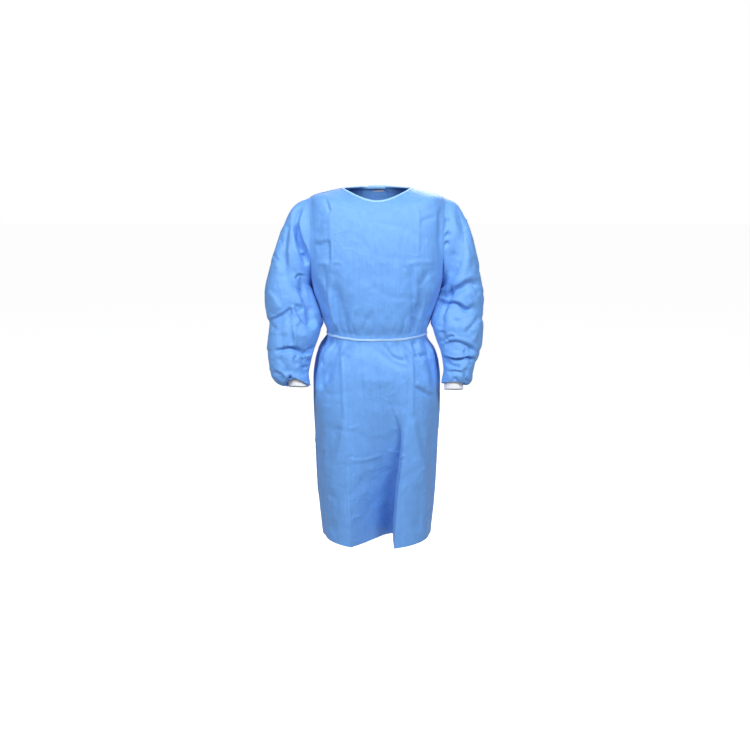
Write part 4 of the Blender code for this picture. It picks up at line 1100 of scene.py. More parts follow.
def armhole_cloud(side):
    """Points of the body and of the sleeve round an armhole, and the area that each stands for."""
    hand = HAND[side]
    angles, rises = np.meshgrid(np.linspace(*ARMHOLE_BODY_ANGLES),
                                np.linspace(RISE_UNDERARM, RISE_NECK - ARMHOLE_BELOW_NECK, ARMHOLE_BODY_ROWS))
    body = cloth(hand * angles, rises)
    turns = np.linspace(np.pi, 0, ARMHOLE_EDGE_STEPS)
    edge = np.interp(rises, armhole_rise(turns), armhole_angle(turns))
    hole = (rises < RISE_TIP) & (np.abs(angles - SIDE_SEAM_ANGLE) < SIDE_SEAM_ANGLE - edge)
    arm = sleeve_face(side, np.linspace(0, ARMHOLE_SLEEVE_SHARE, ARMHOLE_SLEEVE_ROWS),
                      np.linspace(-np.pi, np.pi, ARMHOLE_SLEEVE_STEPS))
    points = np.concatenate([body[~hole], arm.reshape(-1, 3)])
    return points, np.concatenate([cell_areas(body)[~hole], cell_areas(arm).ravel()])


def softened(grid, sides):
    """Grid with the angle between body and sleeve rounded off along the upper armholes."""
    points = grid.reshape(-1, 3).copy()
    for side in sides:
        hand = HAND[side]
        loop = armhole_point(hand, np.linspace(-np.pi, np.pi, ARMHOLE_LOOP_STEPS))
        cloud, areas = ARMHOLE_CLOUDS[side]
        reach = ARMHOLE_SOFT_REACH
        inside = np.all((points > loop.min(0) - reach) & (points < loop.max(0) + reach), -1)
        chosen = points[inside]
        away = np.min(np.linalg.norm(chosen[:, None] - loop[None], axis=-1), 1)
        hold = smooth(1 - away / reach) * smooth((chosen[:, 2] - ARMHOLE_SOFT_ABOVE) / ARMHOLE_SOFT_FADE)
        mean = chosen.copy()
        for first in range(0, len(chosen), POINTS_AT_ONCE):
            part = chosen[first:first + POINTS_AT_ONCE]
            square = np.sum(part**2, 1)[:, None] + np.sum(cloud**2, 1) - 2 * part @ cloud.T
            share = areas * np.exp(-square / (2 * ARMHOLE_SOFT_WIDTH**2))
            total = share.sum(1, keepdims=True)
            moved = np.where(total > 0, share @ cloud / np.maximum(total, 1e-30), part)
            mean[first:first + POINTS_AT_ONCE] = moved
        points[inside] = chosen + (mean - chosen) * hold[:, None]
    return points.reshape(grid.shape)


def rested(grid, side):
    """Sleeve with its inner wall moved up to the side of the body, just clear of it."""
    hand = HAND[side]
    angles, rises = np.meshgrid(np.linspace(*FLANK_ANGLES),
                                np.linspace(BELT_RISE + FLANK_ABOVE_BELT, RISE_UNDERARM, FLANK_ROWS))
    flank = cloth(hand * angles, rises).reshape(-1, 3)
    out = cloth_normal(hand * angles, rises).reshape(-1, 3)
    points = grid.reshape(-1, 3).copy()
    inside = np.all((points * (hand, 1, 1) > (0, -FLANK_DEEP, flank[:, 2].min()))
                    & (points * (hand, 1, 1) < (FLANK_WIDE, FLANK_DEEP, FLANK_TOP)), -1)
    chosen = points[inside]
    nearest = np.empty(len(chosen), int)
    for first in range(0, len(chosen), POINTS_AT_ONCE):
        part = chosen[first:first + POINTS_AT_ONCE]
        square = np.sum(part**2, 1)[:, None] + np.sum(flank**2, 1) - 2 * part @ flank.T
        nearest[first:first + POINTS_AT_ONCE] = np.argmin(square, 1)
    gap = np.sum((chosen - flank[nearest]) * out[nearest], 1)
    close = smooth((FLANK_PULL[0] - gap) / FLANK_PULL[1])
    share = close * smooth((FLANK_TOP - chosen[:, 2]) / FLANK_TOP_FADE)
    share = share * smooth((chosen[:, 2] - flank[:, 2].min()) / FLANK_FOOT_FADE)
    points[inside] = chosen - out[nearest] * ((gap - FLANK_CLEAR) * share)[:, None]
    return points.reshape(grid.shape)


def sleeve(side, creases, material):
    """Sleeve from the armhole to the gathered wrist, cut as one piece with its seam underneath."""
    hand = HAND[side]
    along = np.linspace(0, 1, SLEEVE_ROWS + 1)
    around = np.linspace(UNDERARM_GAP - np.pi, np.pi - UNDERARM_GAP, SLEEVE_STEPS + 1)
    grid = rested(softened(sleeve_face(side, along, around), (side,)), side)
    arch = smooth((along - WRIST_ARCH_FROM) / WRIST_ARCH_FADE)[:, None]
    grid[..., 2] += WRIST_ARCH[side] * arch * np.maximum(np.sin(around), 0) ** 4

    if hand > 0:
        grid, around = grid[:, ::-1], around[::-1]
    normals = grid_normals(grid)
    if np.sum(normals * (grid - grid.mean(1, keepdims=True))) < 0:
        grid, around, normals = grid[:, ::-1], around[::-1], -normals[:, ::-1]
    steps = np.linalg.norm(np.diff(grid, axis=0), axis=2).mean(1)
    down = np.concatenate([[0], np.cumsum(steps)])[:, None]
    keep = smooth(down / SEAM_REST) * smooth((down[-1] - down) / WRIST_REST)
    outside = smooth((hand * grid[..., 0] - FACET_INNER_X) / FACET_INNER_FADE)
    pressed = crease_depth(grid, normals, creases) + facet_depth(grid, SLEEVE_FACETS, CRUMPLE_SEED) * outside
    pressed = pressed * keep
    gather = smooth(1 - (1 - along[:, None]) / WRIST_GATHER_LENGTH) * wrist_gather_depth(around, 0.3 * hand)
    roll = SEAM_ROLL * np.exp(-((down / SEAM_ROLL_WIDTH) ** 2))
    outer = grid - normals * (pressed + gather + roll)[..., None]
    across = np.broadcast_to(around * SLEEVE_RADIUS, outer.shape[:2])
    return shell("sleeve_cloth_" + side, outer, CLOTH_WALL, material,
                 flat_places(across, np.broadcast_to(-down, outer.shape[:2])))


def knit_cuff(side, material):
    """Rib-knit cuff, folded double at its bottom edge, its top just inside the end of the sleeve."""
    hand = HAND[side]
    size, end = CUFFS[side], SLEEVES[side][-1]
    wide = (end.outer_x - end.inner_x) / 2 - CUFF_CLEAR
    deep = end.half_depth - CUFF_CLEAR
    around = np.arange(CUFF_STEPS) * 2 * np.pi / CUFF_STEPS
    ribs = RIB_HEIGHT * np.abs(np.sin(around * CUFF_RIBS / 2)) ** 0.7
    drops = np.linspace(-size.above - CUFF_INSIDE, size.below - CUFF_FOLD, CUFF_ROWS + 1)
    turns = np.linspace(0, np.pi, 5)[1:-1]
    lines = [(drop, -0.5) for drop in drops]
    lines += [(drops[-1] + CUFF_FOLD * math.sin(t), -0.5 - 0.5 * (1 - math.cos(t))) for t in turns]
    lines += [(drop, -1.5) for drop in drops[::-1]]
    grid = []
    for drop, layer in lines:
        share = max(drop, 0) / size.below
        inset = -(layer + 0.5) * (CUFF_WALL - 2 * RIB_HEIGHT) + RIB_HEIGHT
        lift = ribs if layer > -1 else -ribs
        narrow = CUFF_NARROWS * smooth(-(drop + CUFF_NARROWS_ABOVE) / CUFF_NARROWS_OVER)
        spread = 1 + CUFF_SPREAD * share - narrow
        wave = CUFF_WAVE * share * np.sin(3 * around + hand)
        x = (end.outer_x + end.inner_x) / 2 + size.outwards * share
        x = x + (wide * spread - inset + lift) * np.cos(around)
        z = (end.outer_z + end.inner_z) / 2 - drop + deep * end.lean * np.sin(around) + wave
        y = end.y_mid - (deep * spread - inset + lift) * np.sin(around)
        grid.append(np.stack([hand * x, y, z], -1))
    grid = np.array(grid)
    faces = grid_faces(*grid.shape[:2], wrap_rows=True, wrap_columns=True)
    place = flat_places(np.broadcast_to(around * deep, grid.shape[:2]), grid[..., 2])
    return mesh_piece("cuff_knit_" + side, grid.reshape(-1, 3), faces, material, place.reshape(-1, 3))


def swept(name, lines, material, ring=False, places=None):
    """Strip whose section is the closed polygon lines[:, k], swept along k."""
    sides, length = lines.shape[:2]
    faces = [grid_faces(sides, length, wrap_rows=True, wrap_columns=ring)]
    points = lines.reshape(-1, 3)
    if not ring:
        ends = []
        for k in (0, length - 1):
            for i in range(sides // 2 - 1):
                quad = [i, i + 1, sides - 2 - i, sides - 1 - i]
                quad = [side * length + k for side in quad]
                ends.append(quad if k else quad[::-1])
        faces.append(np.array(ends))
    return mesh_piece(name, points, np.concatenate(faces), material, places)


def binding_rise(angles):
    """How far below the neckline, as a rise, the strip's lower edge lies, for an even width of strip."""
    top = cloth(angles, np.full(len(angles), RISE_NECK))
    low = cloth(angles, np.full(len(angles), RISE_NECK - BINDING_LEG))
    return BINDING_LEG * BINDING_WIDTH / np.linalg.norm(top - low, axis=1)


def neck_binding(material):
    """Folded strip over the neckline edge, slightly puckered by its stitching."""
    angles = np.linspace(-BACK_OVERLAP_ANGLE, BACK_OVERLAP_ANGLE, BINDING_STEPS)
    ripple = 0.00012 * np.sin(angles * 1.9) * np.sin(angles * 0.37 + 1)
    top, normal = body_face(angles, np.full(BINDING_STEPS, RISE_NECK))
    low, _ = body_face(angles, np.full(BINDING_STEPS, RISE_NECK - BINDING_LEG))
    up = unit(top - low)
    outline = ((0.0066, 0.0003), (0.0075, 0.0005), (0.0073, 0.0011), (0.0062, 0.0010), (0.0050, 0.0012),
               (0.0030, 0.0014), (0.0012, 0.0013), (0.0000, 0.0011), (-0.0009, 0.0004), (-0.0011, -0.0007),
               (-0.0008, -0.0018), (0.0000, -0.0025), (0.0020, -0.0026), (0.0050, -0.0025),
               (0.0073, -0.0025), (0.0075, -0.0020), (0.0066, -0.0018), (0.0008, -0.0018),
               (0.0002, -0.0007), (0.0008, 0.0003))
    lines = []
    rise_step = binding_rise(angles) / BINDING_LEG
    for height, lift in outline:
        base, way = body_face(angles, RISE_NECK - rise_step * max(height, 0.0))
        out = lift + (ripple if lift > 0.0006 else 0.0)
        lines.append(base + way * np.reshape(out, (-1, 1)) + up * max(-height, 0.0))
    return swept("neck_binding_strip", np.array(lines), material)


def stitches(name, path, normals, pitch, length, radius, material):
    """A row of stitches on a path: short threads whose ends sink into the cloth."""
    steps = np.linalg.norm(np.diff(path, axis=0), axis=1)
    walked = np.concatenate([[0], np.cumsum(steps)])
    shares = np.linspace(-0.5, 0.5, 6)
    sides = 6
    turns = np.arange(sides) * 2 * np.pi / sides
    points, faces = [], []
    for middle in np.arange(pitch / 2, walked[-1] - pitch / 2, pitch):
        at = middle + shares * length
        line = np.stack([np.interp(at, walked, path[:, i]) for i in range(3)], -1)
        out = unit(np.stack([np.interp(at, walked, normals[:, i]) for i in range(3)], -1))
        along = unit(line[-1] - line[0])
        aside = unit(np.cross(np.broadcast_to(along, out.shape), out))
        line = line + out * (radius * (1.2 - 9.0 * shares**2))[:, None]
        thick = radius * np.sqrt(np.clip(1 - (1.8 * shares) ** 4, 0.1, 1))[:, None]
        rings = [line + thick * (out * math.cos(t) + aside * math.sin(t)) for t in turns]
        start = sum(map(len, points))
        points.append(np.array(rings).reshape(-1, 3))
        faces.append(grid_faces(sides, len(shares), wrap_rows=True, start=start))
        ring_start = start + np.arange(sides) * len(shares)
        for end in (0, len(shares) - 1):
            corner = ring_start + end
            caps = np.array([corner[[0, 1, 2, 3]], corner[[3, 4, 5, 0]]])
            faces.append(caps if end else caps[:, ::-1])
    return mesh_piece(name, np.concatenate(points), np.concatenate(faces), material)


def band_section(middle, across, out, width, thick, sides=16):
    """Lines of a flat band with round edges and a shallow fold along its middle."""
    lines = []
    for turn in np.arange(sides) * 2 * np.pi / sides + np.pi / sides:
        c, s = math.cos(turn), math.sin(turn)
        wide = math.copysign(abs(c) ** 0.75, c) * width / 2
        fold = 0.20 * thick * math.exp(-((c / 0.22) ** 2))
        high = math.copysign(abs(s) ** 0.6, s) * (thick / 2 - fold)
        lines.append(middle + across * wide + out * high)
    return np.array(lines)


def belt(material):
    """Narrow tie round the waist, a closed ring that is pressed flat and turns a little."""
    first = BACK_OVERLAP_ANGLE - 360 + BELT_JOIN_ANGLE
    angles = np.linspace(first, BACK_OVERLAP_ANGLE, BELT_STEPS)
    points, normal = body_face(angles, np.full(BELT_STEPS, BELT_RISE))
    turn = np.radians(angles)
    thick = (BELT_THICKNESS - 0.0005) * (1 + 0.10 * np.sin(5 * turn + 1) + 0.06 * np.sin(13 * turn))
    width = BELT_HEIGHT * (0.90 + 0.06 * np.sin(4 * turn + 0.6) + 0.04 * np.sin(11 * turn + 2))
    tilt = 0.16 * np.sin(3 * turn + 0.4) + 0.08 * np.sin(8 * turn)
    middle = points + normal * (BELT_CLEAR + thick / 2 + 0.0002)[:, None]
    middle[:, 2] += 0.0006 * np.sin(6 * turn + 1.2) + 0.0004 * np.sin(17 * turn)
    upright = np.array([0.0, 0.0, 1.0])
    across = unit(upright + normal * tilt[:, None])
    out = unit(np.cross(np.cross(across, normal), across))
    return swept("belt_tie", band_section(middle, across, out, width[:, None], thick[:, None]),
                 material, ring=True)


def belt_back():
    """Outer face of the tie at the middle of the back."""
    at = cloth(np.array([180.0]), np.array([BELT_RISE]))[0]
    return at + np.array([0, BELT_CLEAR + BELT_THICKNESS, 0])


def knot_loop(centre, size, tilt, lean, width, thick):
    """Lines of one turn of the tie round the knot, a band on a tilted oval."""
    turn = np.arange(40) * 2 * np.pi / 40
    flat = np.stack([0 * turn, size[1] * np.cos(turn), size[2] * np.sin(turn)], -1)
    out = unit(np.stack([0 * turn, np.cos(turn) / size[1], np.sin(turn) / size[2]], -1))
    flat[:, 0] += lean * np.sin(turn)
    across = np.broadcast_to(np.array([1.0, 0.0, 0.0]), flat.shape)
    c, s = math.cos(tilt), math.sin(tilt)
    spin = np.array([[c, 0, s], [0, 1, 0], [-s, 0, c]])
    pinch = (1 + 0.12 * np.cos(2 * turn))[:, None]
    return band_section(centre + flat @ spin.T, across @ spin.T, out @ spin.T, width * pinch, thick, 12)


def belt_knot(material):
    """Small flat knot: two turns of the tie crossing over a bunched core."""
    centre = belt_back() + np.array([0, SEAM + KNOT_HALF[1], 0])
    half = np.array(KNOT_HALF)
    parts = [knot_loop(centre + np.array([-0.0035, 0, 0]), half * 0.80, 0.42, 0.0016, 0.0074, 0.0019),
             knot_loop(centre + np.array([0.0035, 0, 0]), half * 0.86, -0.34, -0.0014, 0.0070, 0.0019)]
    spread = np.linspace(-1, 1, 22)
    core = centre + np.stack([spread * half[0] * 0.95, -0.001 + 0 * spread, -0.0012 * spread], -1)
    swell = np.sqrt(np.clip(1 - (0.93 * spread) ** 4, 0, 1))[:, None]
    across = np.broadcast_to(np.array([0.0, 0.0, 1.0]), core.shape)
    out = np.broadcast_to(np.array([0.0, 1.0, 0.0]), core.shape)
    parts.append(band_section(core, across, out, 2 * half[2] * 0.62 * swell, 2 * half[1] * 0.66 * swell, 12))
    points, faces, start = [], [], 0
    for k, lines in enumerate(parts):
        ring = k < 2
        sides, length = lines.shape[:2]
        points.append(lines.reshape(-1, 3))
        faces.append(grid_faces(sides, length, wrap_rows=True, wrap_columns=ring, start=start))
        if not ring:
            for end in (0, length - 1):
                for i in range(sides // 2 - 1):
                    quad = [start + side * length + end for side in (i, i + 1, sides - 2 - i, sides - 1 - i)]
                    faces.append(np.array([quad if end else quad[::-1]]))
        start += sides * length
    return mesh_piece("belt_knot_turns", np.concatenate(points), np.concatenate(faces), material)


def belt_end(side, material):
    """End of the tie, hanging from the knot onto the back of the skirt, cut straight across."""
    shares = np.linspace(0, 1, BELT_END_STEPS)
    rises = BELT_RISE - KNOT_HALF[2] - SEAM - BELT_END_LENGTHS[side] * shares
    angles = BELT_END_ANGLES[side] + BELT_END_SPREAD * (BELT_END_ANGLES[side] - 180) * shares
    middle, normal = cloth(angles, rises), cloth_normal(angles, rises)
    hang = np.maximum(0, belt_back()[1] - middle[:, 1])
    middle[:, 1] += hang * (1 - smooth(shares / BELT_END_COMES_IN))
    knot_bottom = belt_back()[2] - KNOT_HALF[2] - SEAM
    middle[:, 2] += (knot_bottom - middle[0, 2]) * (1 - smooth(shares / BELT_END_LET_DOWN))
    phase = 1.0 if side == "left" else 2.4
    middle[:, 0] += 0.0012 * np.sin(9 * shares + phase) * shares
    across = unit(np.cross(normal, np.array([0.0, 0.0, 1.0])))
    tilt = (0.22 * np.sin(7 * shares + phase) * np.exp(-2 * shares))[:, None]
    across = unit(across + normal * tilt)
    out = unit(np.cross(across, np.gradient(middle, axis=0)))
    out = out * np.sign(np.sum(out * normal, 1, keepdims=True))
    thick = 0.0013 + 0 * shares[:, None]
    width = (BELT_HEIGHT * (0.94 + 0.05 * np.sin(11 * shares + phase)))[:, None]
    centre = middle + normal * (BELT_END_CLEAR + 0.0008)
    return swept("belt_tail_" + side, band_section(centre, across, out, width, thick), material)


def tape_patch(name, hand, low, high, angles, rises, material):
    """Patch of fastening tape on half the back, with a rounded edge."""
    columns, rows = 30, 14
    a = np.linspace(angles[0], angles[1], columns)
    r = np.linspace(rises[0], rises[1], rows)
    grid_a, grid_r = np.meshgrid(a, r)
    face, normal = body_face(hand * grid_a, grid_r)
    edge = np.minimum(np.minimum(np.arange(columns), np.arange(columns)[::-1])[None, :],
                      np.minimum(np.arange(rows), np.arange(rows)[::-1])[:, None])
    rim = np.where(edge == 0, 0.45, np.where(edge == 1, 0.9, 1.0))[..., None]
    top, bottom = (face + normal * (low + (high - low) * rim), face + normal * low)
    if low < 0:
        top, bottom = (face + normal * high, face + normal * (high + (low - high) * rim))
    loop = np.concatenate([top, bottom[::-1]])
    faces = [grid_faces(2 * rows, columns, wrap_rows=True)]
    for column in (0, columns - 1):
        k = np.arange(rows - 1)
        far = 2 * rows - 1 - k
        strip = np.stack([k, far, far - 1, k + 1], -1) * columns + column
        faces.append(strip[:, ::-1] if column else strip)
    place = flat_places(np.radians(grid_a) * TAPE_RADIUS, grid_r)
    flat = np.concatenate([place, place[::-1]]).reshape(-1, 3)
    return mesh_piece(name, loop.reshape(-1, 3), np.concatenate(faces), material, flat)


def add(tree, kind, inputs=None, **settings):
    """Shader node with its settings, and its inputs given by a value or by another node's socket."""
    node = tree.nodes.new("ShaderNode" + kind)
    for name, value in settings.items():
        setattr(node, name, value)
    for name, value in (inputs or {}).items():
        if isinstance(value, bpy.types.NodeSocket):
            tree.links.new(value, node.inputs[name])
        else:
            node.inputs[name].default_value = value
    return node


def new_group(name, inputs, outputs):
    """Shader node group with named inputs and outputs."""
    tree = bpy.data.node_groups.new(name, "ShaderNodeTree")
    for socket, kind, value in inputs:
        made = tree.interface.new_socket(socket, in_out="INPUT", socket_type=kind)
        made.default_value = value
    for socket, kind in outputs:
        tree.interface.new_socket(socket, in_out="OUTPUT", socket_type=kind)
    return tree, tree.nodes.new("NodeGroupInput").outputs, tree.nodes.new("NodeGroupOutput").inputs


def embossed_dots_group():
    """Staggered dots pressed into nonwoven cloth, with its fibres: a height from 0 to 1."""
    tree, given, result = new_group(
        "Embossed dots", [("Pitch", "NodeSocketFloat", 0.002), ("Fibres", "NodeSocketFloat", 0.3)],
        [("Height", "NodeSocketFloat"), ("Dots", "NodeSocketFloat")])
    place = add(tree, "Attribute", attribute_name="cloth_place").outputs["Vector"]
    count = add(tree, "Math", {0: 1.0, 1: given["Pitch"]}, operation="DIVIDE").outputs[0]
    turned = add(tree, "VectorRotate", {"Vector": place, "Angle": math.radians(45)}, rotation_type="Z_AXIS")
    cells = add(tree, "VectorMath", {0: turned.outputs[0], "Scale": count}, operation="SCALE").outputs[0]
    inside = add(tree, "VectorMath", {0: cells}, operation="FRACTION").outputs[0]
    centred = add(tree, "VectorMath", {0: inside, 1: (0.5, 0.5, 0.0)}, operation="SUBTRACT").outputs[0]
    away = add(tree, "VectorMath", {0: centred}, operation="LENGTH").outputs["Value"]
    dots = add(tree, "MapRange", {"Value": away, "From Min": 0.18, "From Max": 0.34}).outputs[0]
    where = add(tree, "TexCoord").outputs["Object"]
    fibres = add(tree, "TexNoise", {"Vector": where, "Scale": 1400.0, "Detail": 3.0}).outputs["Fac"]
    fine = add(tree, "Math", {0: fibres, 1: given["Fibres"]}, operation="MULTIPLY").outputs[0]
    height = add(tree, "Math", {0: dots, 1: fine}, operation="ADD").outputs[0]
    tree.links.new(height, result["Height"])
    tree.links.new(dots, result["Dots"])
    return tree


def cloudy_cloth_group():
    """Uneven density of thin nonwoven cloth: its colour, lighter and darker in clouds and specks."""
    tree, given, result = new_group(
        "Cloudy cloth",
        [("Colour", "NodeSocketColor", (0.5, 0.5, 0.5, 1)), ("Amount", "NodeSocketFloat", 0.1),
         ("Size", "NodeSocketFloat", 40.0)],
        [("Colour", "NodeSocketColor"), ("Clouds", "NodeSocketFloat")])
    where = add(tree, "TexCoord").outputs["Object"]
    clouds = add(tree, "TexNoise", {"Vector": where, "Scale": given["Size"], "Detail": 4.0,
                                    "Roughness": 0.6}).outputs["Fac"]
    specks = add(tree, "TexNoise", {"Vector": where, "Scale": 420.0, "Detail": 2.0}).outputs["Fac"]
    drawn = add(tree, "VectorMath", {0: where, 1: (1.0, 1.0, 0.04)}, operation="MULTIPLY").outputs[0]
    streaks = add(tree, "TexNoise", {"Vector": drawn, "Scale": 230.0, "Detail": 2.0,
                                     "Distortion": 0.4}).outputs["Fac"]
    both = add(tree, "Math", {0: clouds, 1: specks}, operation="ADD").outputs[0]
    all_three = add(tree, "Math", {0: both, 1: streaks}, operation="ADD").outputs[0]
    centred = add(tree, "Math", {0: all_three, 1: 1.5}, operation="SUBTRACT").outputs[0]
    spread = add(tree, "Math", {0: centred, 1: given["Amount"]}, operation="MULTIPLY").outputs[0]
    level = add(tree, "Math", {0: spread, 1: 1.0}, operation="ADD").outputs[0]
    tinted = add(tree, "VectorMath", {0: given["Colour"], "Scale": level}, operation="SCALE").outputs[0]
    tree.links.new(tinted, result["Colour"])
    tree.links.new(clouds, result["Clouds"])
    return tree


def pressed_wrinkles_group():
    """Fine net of wrinkles left by packing, stronger in some places: a height from 0 to 1."""
    tree, given, result = new_group(
        "Pressed wrinkles", [("Size", "NodeSocketFloat", 16.0), ("Sharpness", "NodeSocketFloat", 0.08)],
        [("Height", "NodeSocketFloat")])
    where = add(tree, "TexCoord").outputs["Object"]
    drift = add(tree, "TexNoise", {"Vector": where, "Scale": 9.0, "Detail": 2.0}).outputs["Color"]
    pushed = add(tree, "VectorMath", {0: drift, "Scale": 0.09}, operation="SCALE").outputs[0]
    bent = add(tree, "VectorMath", {0: where, 1: pushed}, operation="ADD").outputs[0]
    edges = add(tree, "TexVoronoi", {"Vector": bent, "Scale": given["Size"]},
                feature="DISTANCE_TO_EDGE").outputs["Distance"]
    lines = add(tree, "MapRange", {"Value": edges, "From Max": given["Sharpness"], "To Min": 1.0,
                                   "To Max": 0.0}, interpolation_type="SMOOTHERSTEP").outputs[0]
    places = add(tree, "TexNoise", {"Vector": where, "Scale": 7.0, "Detail": 1.0}).outputs["Fac"]
    mask = add(tree, "MapRange", {"Value": places, "From Min": 0.42, "From Max": 0.62}).outputs[0]
    faded = add(tree, "Math", {0: lines, 1: mask}, operation="MULTIPLY").outputs[0]
    waves = add(tree, "TexNoise", {"Vector": where, "Scale": 60.0, "Detail": 2.0}).outputs["Fac"]
    height = add(tree, "Math", {0: waves, 1: 0.6, 2: faded}, operation="MULTIPLY_ADD").outputs[0]
    tree.links.new(height, result["Height"])
    return tree


def knit_loops_group():
    """Small upright loops of rib knit: a height from 0 to 1."""
    tree, given, result = new_group("Knit loops", [("Loop", "NodeSocketFloat", 0.0012)],
                                    [("Height", "NodeSocketFloat")])
    place = add(tree, "Attribute", attribute_name="cloth_place").outputs["Vector"]
    count = add(tree, "Math", {0: 1.0, 1: given["Loop"]}, operation="DIVIDE").outputs[0]
    cells = add(tree, "VectorMath", {0: place, "Scale": count}, operation="SCALE").outputs[0]
    parts = add(tree, "SeparateXYZ", {0: cells})
    side = add(tree, "Math", {0: parts.outputs["X"], 1: 1.0}, operation="PINGPONG").outputs[0]
    slant = add(tree, "Math", {0: side, 1: 0.6, 2: parts.outputs["Y"]}, operation="MULTIPLY_ADD").outputs[0]
    wave = add(tree, "Math", {0: slant, 1: 0.5}, operation="PINGPONG").outputs[0]
    height = add(tree, "Math", {0: wave, 1: 2.0}, operation="MULTIPLY").outputs[0]
    tree.links.new(height, result["Height"])
    return tree


GROUPS = {"dots": embossed_dots_group(), "clouds": cloudy_cloth_group(),
          "wrinkles": pressed_wrinkles_group(), "knit": knit_loops_group()}


def new_material(name):
    """Material with its shader, ready for its own nodes."""
    material = bpy.data.materials.new(name)
    material.use_nodes = True
    tree = material.node_tree
    return material, tree, tree.nodes["Principled BSDF"]


def nonwoven(name, colour, roughness, sheen, pitch, wrinkle_depth, clouds):
    """Nonwoven cloth: clouded colour, pressed wrinkles and embossed dots."""
    material, tree, shader = new_material(name)
    tone = add(tree, "Group", node_tree=GROUPS["clouds"])
    tone.inputs["Colour"].default_value = (*colour, 1.0)
    tone.inputs["Amount"].default_value = clouds
    wrinkles = add(tree, "Group", node_tree=GROUPS["wrinkles"])
    dots = add(tree, "Group", node_tree=GROUPS["dots"])
    dots.inputs["Pitch"].default_value = pitch
    bent = add(tree, "Bump", {"Height": wrinkles.outputs["Height"], "Distance": wrinkle_depth})
    pressed = add(tree, "Bump", {"Height": dots.outputs["Height"], "Distance": 0.00012,
                                 "Normal": bent.outputs["Normal"]})
    tree.links.new(tone.outputs["Colour"], shader.inputs["Base Color"])
    tree.links.new(pressed.outputs["Normal"], shader.inputs["Normal"])
    shader.inputs["Roughness"].default_value = roughness
    shader.inputs["Sheen Weight"].default_value = sheen
    shader.inputs["Sheen Roughness"].default_value = 0.5
    shader.inputs["Specular IOR Level"].default_value = 0.60
    return material


def knitted(name, colour):
    """White rib knit with small loops."""
    material, tree, shader = new_material(name)
    tone = add(tree, "Group", node_tree=GROUPS["clouds"])
    tone.inputs["Colour"].default_value = (*colour, 1.0)
    tone.inputs["Amount"].default_value = 0.08
    tone.inputs["Size"].default_value = 160.0
    loops = add(tree, "Group", node_tree=GROUPS["knit"])
    bump = add(tree, "Bump", {"Height": loops.outputs["Height"], "Distance": 0.0002})
    tree.links.new(tone.outputs["Colour"], shader.inputs["Base Color"])
    tree.links.new(bump.outputs["Normal"], shader.inputs["Normal"])
    shader.inputs["Roughness"].default_value = 0.9
    shader.inputs["Sheen Weight"].default_value = 0.3
    return material


def napped_tape(name, colour, density):
    """Fastening tape: a dense pile of small hooks or loops."""
    material, tree, shader = new_material(name)
    where = add(tree, "TexCoord").outputs["Object"]
    pile = add(tree, "TexVoronoi", {"Vector": where, "Scale": density}).outputs["Distance"]
    bump = add(tree, "Bump", {"Height": pile, "Distance": 0.0004})
    tone = add(tree, "Group", node_tree=GROUPS["clouds"])
    tone.inputs["Colour"].default_value = (*colour, 1.0)
    tone.inputs["Size"].default_value = 300.0
    tree.links.new(tone.outputs["Colour"], shader.inputs["Base Color"])
    tree.links.new(bump.outputs["Normal"], shader.inputs["Normal"])
    shader.inputs["Roughness"].default_value = 0.8
    return material


GOWN_CLOTH = nonwoven("gown cloth", (0.126, 0.338, 0.778), 0.60, 0.10, 0.0022, 0.0004, 0.24)
BINDING_CLOTH = nonwoven("binding cloth", (0.270, 0.530, 0.900), 0.55, 0.10, 0.0016, 0.0003, 0.12)
TIE_CLOTH = nonwoven("tie cloth", (0.330, 0.550, 0.840), 0.55, 0.10, 0.0016, 0.0004, 0.12)
CUFF_KNIT = knitted("cuff knit", (0.80, 0.82, 0.86))
LOOP_TAPE = napped_tape("loop tape", (0.52, 0.58, 0.66), 1900.0)
HOOK_TAPE = napped_tape("hook tape", (0.56, 0.62, 0.68), 1300.0)
THREAD = nonwoven("sewing thread", (0.230, 0.400, 0.700), 0.5, 0.2, 0.0010, 0.0001, 0.05)
ARMHOLE_CLOUDS = {side: armhole_cloud(side) for side in ("left", "right")}


